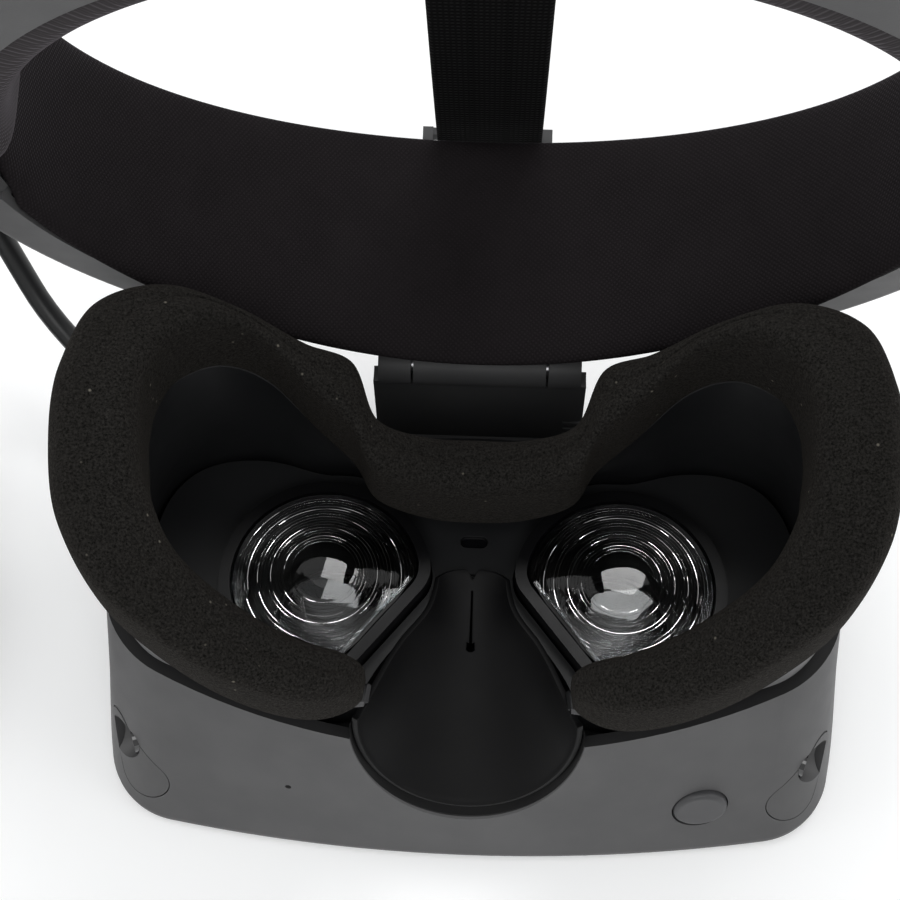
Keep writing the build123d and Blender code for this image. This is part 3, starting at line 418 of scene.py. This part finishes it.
def metres(points):
    """Points in metres from points in millimetres."""
    return [tuple(c * MM for c in p) for p in points]


def cable(name, points, diameter, body=None):
    """Round cable on a smooth curve with those control points."""
    data = bpy.data.curves.new(name, "CURVE")
    data.dimensions = "3D"
    data.bevel_depth = diameter / 2
    data.bevel_resolution = 6
    data.resolution_u = 6
    data.use_fill_caps = True
    line = data.splines.new("NURBS")
    line.points.add(len(points) - 1)
    for point, place in zip(line.points, points):
        point.co = (*place, 1)
    line.order_u = 3
    line.use_endpoint_u = True
    data.materials.append(cable_rubber)
    o = bpy.data.objects.new(name, data)
    scene.collection.objects.link(o)
    if body:
        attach(o, body)
    return o


CLIP_X, CLIP_BACK, CLIP_UP = 105.0, 93.0, -2.0
before_clip, clip_in, after_clip = (halo(CLIP_X, CLIP_BACK + along, CLIP_UP) for along in (-19, -7, 24))
LEAD_JOIN = (-122.0, 84.0, 99.0)
LEAD = metres([(-85.0, 57.0, 27.0), (-104.5, 71.0, 31.0), (-118.0, 88.0, 52.0), (-123.0, 92.0, 76.0), LEAD_JOIN])
LOOP = metres([LEAD_JOIN, (-120.7, 77.5, 117.85), (-116.0, 62.0, 140.0)]) + [before_clip, clip_in]
FLOOR_Z = 2.75                  # axis of a cable that lies on the floor
TAIL = metres([(-110.0, 34.0, 216.0), (-126.0, 36.0, 232.0), (-146.0, 40.0, 224.0), (-158.0, 43.0, 190.0),
               (-161.0, 46.0, 134.0), (-158.0, 49.0, 78.0), (-152.0, 52.0, 36.0), (-143.0, 50.0, 10.0),
               (-131.0, 34.0, FLOOR_Z), (-127.1, 5.0, FLOOR_Z)])
TAIL_END = metres([(-189.5, 60.2, FLOOR_Z), (-170.0, 61.6, FLOOR_Z), (-156.0, 68.0, FLOOR_Z),
                   (-154.5, 83.0, FLOOR_Z)])
COIL_AT = (-182.5, 5.0)
COIL_OUT, PITCH = 49.55, 5.5    # radius of the outermost turn, and the way from turn to turn
COIL_IN, COIL_AWAY = 55.4, 55.6 # radii at which the cable comes to the coil and leaves it
TURNS, PER_TURN = 16.73, 16
LAST_FULL = 16.25               # from there the last turn runs down to the floor and away
LAYER = 4                       # turns side by side in a layer
SPLINE_GAIN = 1.018             # the curve runs a little inside its control points
coil_points = []                # four layers of turns, in and out by turns, each on top of the last
for k in range(1, round(TURNS * PER_TURN)):
    turn = k / PER_TURN
    wave = abs((turn - 0.25) % (2 * LAYER) - LAYER)         # 4 at the outside, 0 at the inside
    radius = COIL_OUT - PITCH * (LAYER - wave)
    if turn < 0.25:
        radius = COIL_IN + (COIL_OUT - COIL_IN) * turn / 0.25
    height = FLOOR_Z
    for change in (LAYER, 2 * LAYER, 3 * LAYER):
        step = min(max((turn - change) / 0.5, 0), 1)
        height += PITCH * step * step * (3 - 2 * step)
    if turn > LAST_FULL:
        away = (turn - LAST_FULL) / (TURNS - LAST_FULL)
        radius = COIL_OUT + (COIL_AWAY - COIL_OUT) * min(away / 0.45, 1)
        drop = min(max((away - 0.35) / 0.6, 0), 1)
        height -= 3 * PITCH * drop * drop * (3 - 2 * drop)
    angle = -2 * math.pi * turn
    radius *= SPLINE_GAIN
    coil_points.append(((COIL_AT[0] + radius * math.cos(angle)) * MM, (COIL_AT[1] + radius * math.sin(angle)) * MM,
                        height * MM))
main_cable = cable("main_cable", [clip_in, after_clip] + TAIL + coil_points + TAIL_END, CORD_D, "headband")
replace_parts(main_cable, "cable_tail", "cable_coil", "cable_end")

split_dir = (Vector(TAIL_END[-1]) - Vector(TAIL_END[-2])).normalized()
SPLITTER = 22 * MM
split_end = Vector(TAIL_END[-1]) + split_dir * SPLITTER
split_side = Vector((0, 0, 1)).cross(split_dir)
BRANCH_Z = BRANCH_D / 2 + 1.4 * MM                          # axis of a branch, held up by its plug
APART = 3 * MM                  # how far each branch comes out from the splitter's middle
near, far = split_end + split_side * APART, split_end - split_side * APART
near_out, far_out = near + split_dir * 16 * MM, far + split_dir * 20 * MM
DATA = [(near.x, near.y, BRANCH_Z), (near_out.x, near_out.y, BRANCH_Z)] + [
    (x * MM, y * MM, BRANCH_Z) for x, y in ((-163, 137), (-178, 139), (-192, 135))]
DISPLAY = [(far.x, far.y, BRANCH_Z), (far_out.x, far_out.y, BRANCH_Z)] + [
    (x * MM, y * MM, BRANCH_Z) for x, y in ((-151, 145), (-166, 156), (-182, 154))]
data_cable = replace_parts(cable("data_cable", DATA, BRANCH_D, "headband"), "data_branch")
display_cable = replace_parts(cable("display_cable", DISPLAY, BRANCH_D, "headband"), "display_branch")


def held_lead(name, points, node):
    """Short cable between two bodies, as a mesh."""
    curve = cable(name + "_line", points, CORD_D)
    mesh = bpy.data.meshes.new_from_object(curve.evaluated_get(bpy.context.evaluated_depsgraph_get()))
    bpy.data.objects.remove(curve)
    mesh.name = name
    o = bpy.data.objects.new(name, mesh)
    scene.collection.objects.link(o)
    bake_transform(o)
    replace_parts(o, node)


held_lead("lead_cable", LEAD, "cable_lead")
held_lead("loop_cable", LOOP, "cable_loop")

# ---------------------------------------------------------------- face foam and its frame
# per station: outer x, y; inner x, y; how far in the frame's foot stands; frame top; foam top
FACE = [
    (22, -33.5, 21, -25, 6.5, 60, 76),
    (34, -36.5, 33, -25, 8.2, 65, 83),
    (48, -35.5, 47, -20.5, 11.8, 74, 92),
    (60, -31, 58, -13.5, 15.5, 82, 102),
    (70, -25, 63.5, -3.5, 15.5, 91, 110),
    (77.9, -13.9, 65, 4, 11, 94, 114),
    (81.5, 2, 65.5, 11, 7.3, 95.5, 116),
    (81.5, 19, 64.5, 19, 7.5, 95.5, 116.5),
    (76.6, 32.8, 61, 25.5, 9.8, 95, 116),
    (64, 39.2, 53, 31, 10.4, 91.5, 113),
    (50, 38.2, 44, 31, 7, 85, 106.5),
    (36, 36, 34, 25, 4.5, 75, 97),
    (27, 35.3, 26.5, 20, 4, 70, 92),
    (20.5, 24.5, 20.5, 13.2, -5, 65, 85),
    (11, 24.2, 11, 12.5, -6, 59, 79),
    (0, 25.3, 0, 12.5, -5, 57, 76),
]
FOAM_LEAN, LEAN_FROM = 0.15, 16             # the brow side leans in by that share of its y past that y
STATIONS = 400
END, END_SIZE = 9, 0.35                     # stations over which each end rounds off, and the share of it left
stations = np.array(FACE, float)
flipped = stations[-2::-1].copy()
flipped[:, [0, 2]] *= -1
stations = fair(np.vstack([stations, flipped]), STATIONS)


def placed(station, across, height):
    """Row-frame point: across millimetres in from the outer edge, at a height."""
    outer, inner = station[:2], station[2:4]
    way = (inner - outer) / np.linalg.norm(inner - outer)
    x, y = outer + way * across
    return (x * MM, y * MM, height * MM)


def width_and_lean(station):
    """Width of the cushion there, and how far its outer side stands in at its foot."""
    return np.linalg.norm(station[2:4] - station[:2]), max(0.0, station[1] - LEAN_FROM) * FOAM_LEAN


foam_rings = []
for i, s in enumerate(stations):
    wide, lean = width_and_lean(s)
    low, high = s[5], s[6]
    edge = min(i, STATIONS - 1 - i)
    shrink = 1.0 if edge >= END else math.sqrt(max(0.0, 1 - ((END - edge) / (END + 0.3)) ** 2))
    size = END_SIZE + (1 - END_SIZE) * shrink
    ring = []
    outline = rounded_box(wide, high - low, (1.0, 1.0, min(4.2, wide * 0.38), min(4.8, wide * 0.42)), 7, 7)
    for a, h in outline:
        k = h / (high - low)
        swell = 0.5 * math.sin(math.pi * k)                     # walls belly out a little
        a = a + (swell if a > wide / 2 else -swell) * (1 if 0.02 < k < 0.98 else 0)
        if k > 0.97:                                            # faint seam along the crown
            h -= 0.55 * math.exp(-((a - 0.5 * wide) / 0.55) ** 2)
        a += lean * (1 - k) * (1 - a / wide)
        a = wide / 2 + (a - wide / 2) * size
        h = (high - low) / 2 + (h - (high - low) / 2) * size
        ring.append(placed(s, a, low + h))
    foam_rings.append(ring)
foam = piece("foam_cushion", *skin(foam_rings), foam_black, "visor", "foam", sharp=60)
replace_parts(foam, "face_foam")

cover = BVHTree.FromObject(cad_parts["front_shell"], bpy.context.evaluated_depsgraph_get())
RIM_GAP, RIM_HEIGHT, SEARCH = 0.7, 43.5, 12
LEAST_IN = 2.5                              # the frame stays at least that far in from the foam's outer edge


def flare(s):
    """How far in the frame's outside stands at the cover's rim: just inside it, except on the brow side."""
    way = Vector((s[2] - s[0], s[3] - s[1], 0)).normalized()
    foot = Vector((s[0], s[1], 0)) + way * s[4]
    hit = cover.ray_cast((foot.x * MM, foot.y * MM, RIM_HEIGHT * MM), -way, SEARCH * MM)[0]
    if hit is None or s[1] > LEAN_FROM:
        return s[4]
    return max(s[4] - (foot * MM - Vector((hit.x, hit.y, 0))).length / MM + RIM_GAP, LEAST_IN)


SMOOTH = 12                                 # stations to each side over which the flare is evened out
flares = np.pad(np.array([flare(s) for s in stations]), SMOOTH, "edge")
flares = np.convolve(flares, np.ones(2 * SMOOTH + 1) / (2 * SMOOTH + 1), "valid")
BASE_Z, RIM_Z = 38.8, 51.2                  # foot of the frame, and the height where it clears the cover's rim
OUTSIDE = (1, 2, 3, 4)                      # faces of a ring, by number, that show on the outside
frame_rings = []
for s, near_rim in zip(stations, flares):
    wide, lean = width_and_lean(s)
    foot, top = s[4], s[5] - 0.3
    outer = lean + LEAST_IN
    frame_rings.append([placed(s, a, h) for a, h in (
        (foot, BASE_Z), (foot, 49.6), (near_rim, RIM_Z),
        (near_rim + (outer - near_rim) * 0.3, RIM_Z + (top - RIM_Z) * 0.45),
        (outer, top - 0.8), (outer + 0.8, top), (wide - 1.8, top), (wide - 1.0, top - 0.8),
        (foot + 3 + (wide - 4 - foot) * 0.72, 50.5 + (top - 50.5) * 0.75),
        (foot + 3.2, 52.0), (foot + 3.0, 50.0), (foot + 3.0, BASE_Z))])
frame_skin = piece("frame_skin", *skin(frame_rings), frame_outside, "visor", "frame_grey", sharp=50)
frame_skin.data.materials.append(inner_black)
for index, face in enumerate(frame_skin.data.polygons):
    face.material_index = 0 if index % len(frame_rings[0]) in OUTSIDE else 1
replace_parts(frame_skin, "face_frame")

# ---------------------------------------------------------------- nose flap
# per station: y, half width, height of the edges, height of the middle
NOSE = fair([(4, 7.8, 52.5, 50.0), (-5, 9.8, 52.0, 45.5), (-13, 15.5, 51.5, 40.5), (-30, 24.0, 51.0, 29.0),
             (-47, 33.5, 49.0, 17.2)], 60)


def flap_point(y, share):
    """Point on the saddle at that y, share of the half width to either side."""
    half, edge, middle = (np.interp(-y, -NOSE[:, 0], NOSE[:, k]) for k in (1, 2, 3))
    sag = edge - middle
    radius = (half * half + sag * sag) / (2 * sag)
    reach = math.atan2(half, radius - sag) if sag < radius else math.pi / 2
    a = share * reach
    return np.array([radius * math.sin(a), y, middle + radius * (1 - math.cos(a))])


def wall_y(x, z):
    """The visor's lower wall at that x and height."""
    k = z / 47.0
    half, ends, low = 81.5 - 0.5 * k, -40.5 + 25.5 * k, -48.0 + 13.0 * k
    return low + (ends - low) * (x / half) ** 2


def down_to_wall(share, start, end, gap):
    """y at which the saddle, followed down at that share, comes within a gap of the wall."""
    for _ in range(30):
        mid = (start + end) / 2
        p = flap_point(mid, share)
        start, end = (mid, end) if mid > wall_y(p[0], p[2]) + gap else (start, mid)
    return start


flap_verts, flap_faces = [], []
ACROSS = [-1, -0.985, -0.95, -0.9] + list(np.linspace(-0.84, -0.1, 16)) + [-0.055, -0.02, 0.02, 0.055] + list(
    np.linspace(0.1, 0.84, 16)) + [0.9, 0.95, 0.985, 1]
DOWNWARD = 56
LIP_FROM, LIP_RISE = 0.955, 0.75            # the lower edge turns up from that share of the way down
SLIT, HOLE = range(3, 16), range(16, 18)    # rows of faces left out down the middle, and of the hole at its end
for share in ACROSS:
    top = 4.4 - 3.0 * abs(share) ** 3 - 1.8 * math.exp(-(share / 0.09) ** 2)
    bottom = down_to_wall(share, top, -47.0, 0.9)
    for j in range(DOWNWARD + 1):
        t = j / DOWNWARD
        p = flap_point(top + (bottom - top) * t, share)
        lip = max(0.0, (t - LIP_FROM) / (1 - LIP_FROM))
        p[2] += LIP_RISE * lip * lip
        flap_verts.append(tuple(p * MM))
middle = len(ACROSS) // 2 - 1
for i in range(len(ACROSS) - 1):
    for j in range(DOWNWARD):
        slit = i == middle and j in SLIT
        hole = abs(i - middle) <= 1 and j in HOLE
        if not (slit or hole):
            k = i * (DOWNWARD + 1) + j
            flap_faces.append((k, k + 1, k + DOWNWARD + 2, k + DOWNWARD + 1))
nose = piece("nose_cover", flap_verts, flap_faces, flap_rubber, "visor", "flap_rubber", sharp=40)
solid = nose.modifiers.new("thickness", "SOLIDIFY")
solid.thickness, solid.offset = 1.3 * MM, 1.0
round_off = nose.modifiers.new("edges", "BEVEL")
round_off.width, round_off.segments, round_off.limit_method = 0.3 * MM, 2, "ANGLE"
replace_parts(nose, "nose_flap")

gasket_rings = []
for share in np.linspace(-1, 1, 61):
    bottom = down_to_wall(share, 0.0, -50.0, -0.12)
    ring = []
    for inward, drop in ((0.0, 1.0), (0.0, 2.5), (4.2, 2.5), (4.2, 1.6), (0.6, 0.75)):
        p = flap_point(bottom + inward, share)
        ring.append((p[0] * MM, p[1] * MM, (p[2] - drop) * MM))
    gasket_rings.append(ring)
piece("nose_gasket", *skin(gasket_rings), flap_rubber, "visor", "flap_rubber", sharp=40)

# ---------------------------------------------------------------- lenses
LENS_X, LENS_R, CHORD, LENS_TOP, LENS_BASE = 32.4, 20.8, 15.5, 57.5, 50.0
FLAT_AT, SOFTNESS = math.radians(218), 1.1
RIDGE, RIDGES_FROM = 0.74, 6.6              # width of a ridge, and the radius from which there are ridges


def lens_radius(angle):
    """Distance from the lens's centre to its rim: round, with a softened flat on the lower nose side."""
    off = abs((angle - FLAT_AT + math.pi) % (2 * math.pi) - math.pi)
    flat = CHORD / max(math.cos(min(off, 1.3)), 0.2)
    if flat >= 60:
        return LENS_R
    return -math.log(math.exp(-LENS_R * SOFTNESS) + math.exp(-flat * SOFTNESS)) / SOFTNESS


def lens(name, sign, node):
    """Lens with fine ridges in rings, on the side of that sign."""
    around, rings = 144, []
    radii = list(np.arange(1.0, 6.0, 1.4))
    r = RIDGES_FROM
    while r < LENS_R - 1.6:
        radii += [r, r + RIDGE * 0.82, r + RIDGE * 0.9]
        r += RIDGE
    radii += [LENS_R - 1.1, LENS_R - 0.5, LENS_R]
    for r in radii:
        ring = []
        for i in range(around):
            a = 2 * math.pi * i / around
            limit = lens_radius(a)
            d = r / LENS_R * limit if r > LENS_R - 2 else min(r, limit - 0.9 * (1 - r / LENS_R) - 0.5)
            tooth = 0.0
            if 6.5 < r < LENS_R - 1.5:
                phase = ((r - RIDGES_FROM) / RIDGE) % 1
                tooth = -(0.085 + 0.035 * math.sin(2.3 * r + 1.4 * math.sin(a))) * phase if phase < 0.86 else 0.0
            z = LENS_TOP - d * d / 96 + tooth - (0.9 if r >= LENS_R - 0.01 else 0)
            ring.append((sign * (LENS_X + d * math.cos(a)) * MM, d * math.sin(a) * MM, z * MM))
        rings.append(ring)
    axis = sign * LENS_X * MM
    for share in (1, 0.5):
        rings.append([(axis + (x - axis) * share, y * share, LENS_BASE * MM) for x, y, _ in rings[-1]])
    verts, faces = skin(rings, caps=False)
    verts += [(axis, 0, LENS_TOP * MM), (axis, 0, LENS_BASE * MM)]
    apex, foot = len(verts) - 2, len(verts) - 1
    last = (len(rings) - 1) * around
    for i in range(around):
        k = (i + 1) % around
        faces.append((k, i, apex))
        faces.append((last + i, last + k, foot))
    if sign < 0:
        faces = [tuple(reversed(f)) for f in faces]
    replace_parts(piece(name, verts, faces, lens_clear, "visor", "lens_clear", sharp=12), node)


lens("lens_ridges_right", 1, "lens_right")
lens("lens_ridges_left", -1, "lens_left")

# ---------------------------------------------------------------- headband pads
THIN, TAPER = 2.3, 14                       # thickness of the brow pad's ends, and the way over which it thins
END_ROUND = 6.0                             # length over which a pad's ends round off


def ring_pad(name, centre, direction, r_face, roll, thick, edges, hollow, reach, shoulder, m, body, slot, node,
             thin_from=None):
    """Crowned cloth pad round the inside of a ring, over the reach in radians to either side. At a side distance,
    edges gives the lower and upper bound of its front, which rolls over the shell's lips, and hollow those of the
    part behind them. The two exponents of shoulder shape its crown."""
    rows, columns = 200, 44
    rings, uv = [], []
    for i in range(rows + 1):
        share = 2 * i / rows - 1
        angle = share * reach
        end = min(1.0, (1 - abs(share)) * reach * r_face / END_ROUND)
        end = math.sqrt(max(0.0, 1 - (1 - end) ** 2))
        low, high = edges(abs(r_face * math.sin(angle)))
        back_low, back_high = hollow(abs(r_face * math.sin(angle)))
        deep = thick
        if thin_from is not None:                            # thinner and shorter past that distance back
            t = min(max((centre - r_face * math.cos(angle) - thin_from) / TAPER, 0), 1)
            deep = thick + (THIN - thick) * min(1, t * 3)
            inset = 1.6 * min(1, 4 * t)
            low, high = low + inset + 3 * t * t, high - inset - 2 * t * t
        ring = []
        for j in range(columns):
            t = j / (columns - 1)
            v = math.cos(math.pi * (1 - t))                  # closer rows near the edges
            v = math.copysign(abs(v) ** 0.9, v)
            crown = max(0.0, 1 - abs(v) ** shoulder[0]) ** shoulder[1] * (0.3 + 0.7 * end)
            n = (low + high) / 2 + v * (high - low) / 2 * (0.93 + 0.07 * end)
            r = r_face + min(roll, deep) * (1 - crown)
            ring.append(halo(-r * math.sin(angle), centre + direction * r * math.cos(angle), n))
            uv.append((angle * r_face * MM, n * MM))
        lip, back = r_face + min(roll, deep) + 0.02, r_face + deep + 0.04
        for r, n in ((lip, high - 0.3), (lip, min(back_high, high - 0.4)), (back, min(back_high, high - 0.5)),
                     (back, max(back_low, low + 0.5)), (lip, max(back_low, low + 0.4)), (lip, low + 0.3)):
            ring.append(halo(-r * math.sin(angle), centre + direction * r * math.cos(angle), n))
            uv.append((angle * r_face * MM, n * MM))
        rings.append(ring)
    verts, faces = skin(rings)
    if direction > 0:
        faces = [tuple(reversed(f)) for f in faces]
    o = piece(name, verts, faces, m, body, slot, sharp=60, uv=uv)
    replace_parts(o, node)


BROW_HALF = 80.0                            # side distance over which the brow's bands narrow


def brow_band(middle_low, middle_high, rise, fall):
    """Bounds of a band that narrows toward the sides, by the side distance."""
    return lambda x: (middle_low + rise * (x / BROW_HALF) ** 2, middle_high - fall * (x / BROW_HALF) ** 2)


ring_pad("brow_pad", centre=85.6, direction=-1, r_face=85.6, roll=2.7, thick=8.8,
         edges=brow_band(-26.0, 26.2, 8.8, 4.4), hollow=brow_band(-19.0, 24.4, 3.6, 4.4),
         reach=math.radians(88.9), shoulder=(3.4, 0.42), m=pad_knit,
         body="headband", slot="pad_fabric", node="forehead_pad", thin_from=66.0)
ring_pad("nape_pad", centre=117.0, direction=1, r_face=71.3, roll=6.8, thick=10.0,
         edges=lambda x: (-29.7, 14.0), hollow=lambda x: (-27.0, 14.0),
         reach=math.radians(88), shoulder=(9.0, 0.3), m=rear_knit,
         body="rear_cradle", slot="pad_fabric", node="rear_pad")

# ---------------------------------------------------------------- top strap
STRAP_W, STRAP_T, STRAP_X = 24.2, 1.8, -0.5
STRAP_LENGTH, STRAP_UV = 0.2125, 0.213      # metres along it, and the metres of weave laid over them
# It lies on the circle through these places, given as (back, up).
(x1, y1), (x2, y2), (x3, y3) = (-11.0, 29.9), (92.0, 22.6), (201.0, 20.4)
det = 2 * (x1 * (y2 - y3) + x2 * (y3 - y1) + x3 * (y1 - y2))
cx = ((x1**2 + y1**2) * (y2 - y3) + (x2**2 + y2**2) * (y3 - y1) + (x3**2 + y3**2) * (y1 - y2)) / det
cy = ((x1**2 + y1**2) * (x3 - x2) + (x2**2 + y2**2) * (x1 - x3) + (x3**2 + y3**2) * (x2 - x1)) / det
big = math.hypot(x1 - cx, y1 - cy)
first, last = math.atan2(y1 - cy, x1 - cx), math.atan2(y3 - cy, x3 - cx)
strap_rings, strap_uv = [], []
section = rounded_box(STRAP_W, STRAP_T, (0.7,) * 4, 4, 9)
for t in np.linspace(0, 1, 160):
    a = first + (last - first) * t
    ring = []
    for u, h in section:
        r = big + (h - STRAP_T / 2) * (1 if cy < y1 else -1)
        ring.append(halo(STRAP_X + u - STRAP_W / 2, cx + r * math.cos(a), cy + r * math.sin(a)))
        strap_uv.append(((u - STRAP_W / 2) * MM, t * STRAP_UV))
    strap_rings.append(ring)
strap = piece("strap_web", *skin(strap_rings), webbing, None, "webbing", sharp=60, uv=strap_uv)
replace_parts(strap, "top_strap")
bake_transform(strap)

# ---------------------------------------------------------------- racks and spring
def stretched(name, node):
    """Copy of a CAD piece between one body and another, in the piece's place."""
    o = bpy.data.objects.new(name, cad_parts[node].data.copy())
    scene.collection.objects.link(o)
    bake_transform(o)
    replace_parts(o, node)


for side_name in ("left", "right"):
    stretched("toothed_strip_" + side_name, "rack_" + side_name)

stretched("return_spring", "button_spring")

# ---------------------------------------------------------------- floor and light
floor_mesh = bpy.data.meshes.new("floor")
floor_mesh.from_pydata([(x, y, 0) for x, y in ((-4, -4), (4, -4), (4, 4), (-4, 4))], [], [(0, 1, 2, 3)])
floor = bpy.data.objects.new("floor", floor_mesh)
scene.collection.objects.link(floor)
floor.location.z = -0.0002                  # a hair below the lowest piece
floor_white, _, shader = material("floor_white", (0.9, 0.905, 0.91), 0.6)
shader.inputs["Specular IOR Level"].default_value = 0.2
shader.inputs["Emission Color"].default_value = (0.99, 1.0, 1.0, 1)       # lifts the sheet to a pale white
shader.inputs["Emission Strength"].default_value = 0.17
floor_mesh.materials.append(floor_white)

world = bpy.data.worlds.new("studio")
scene.world = world
world.use_nodes = True
world.node_tree.nodes["Background"].inputs["Color"].default_value = (1, 1, 1, 1)
world.node_tree.nodes["Background"].inputs["Strength"].default_value = 0.6


def lamp(name, at, to, size, power):
    """Soft rectangular light aimed at a place."""
    data = bpy.data.lights.new(name, "AREA")
    data.shape, data.energy = "RECTANGLE", power
    data.size, data.size_y = size
    o = bpy.data.objects.new(name, data)
    scene.collection.objects.link(o)
    o.location = at
    o.rotation_mode = "QUATERNION"
    o.rotation_quaternion = (Vector(to) - Vector(at)).to_track_quat("-Z", "Y")


lamp("overhead", (0.12, 0.55, 1.25), (0, 0.02, 0.05), (0.55, 0.4), 4.6)
lamp("left_bank", (-1.0, 0.1, 0.8), (0, 0, 0.05), (0.7, 0.7), 3.2)
lamp("right_bank", (1.0, -0.1, 0.8), (0, 0, 0.05), (0.7, 0.7), 2.7)
lamp("front_bank", (0.0, -0.78, 1.15), (0, -0.03, 0.05), (1.0, 0.5), 3.6)
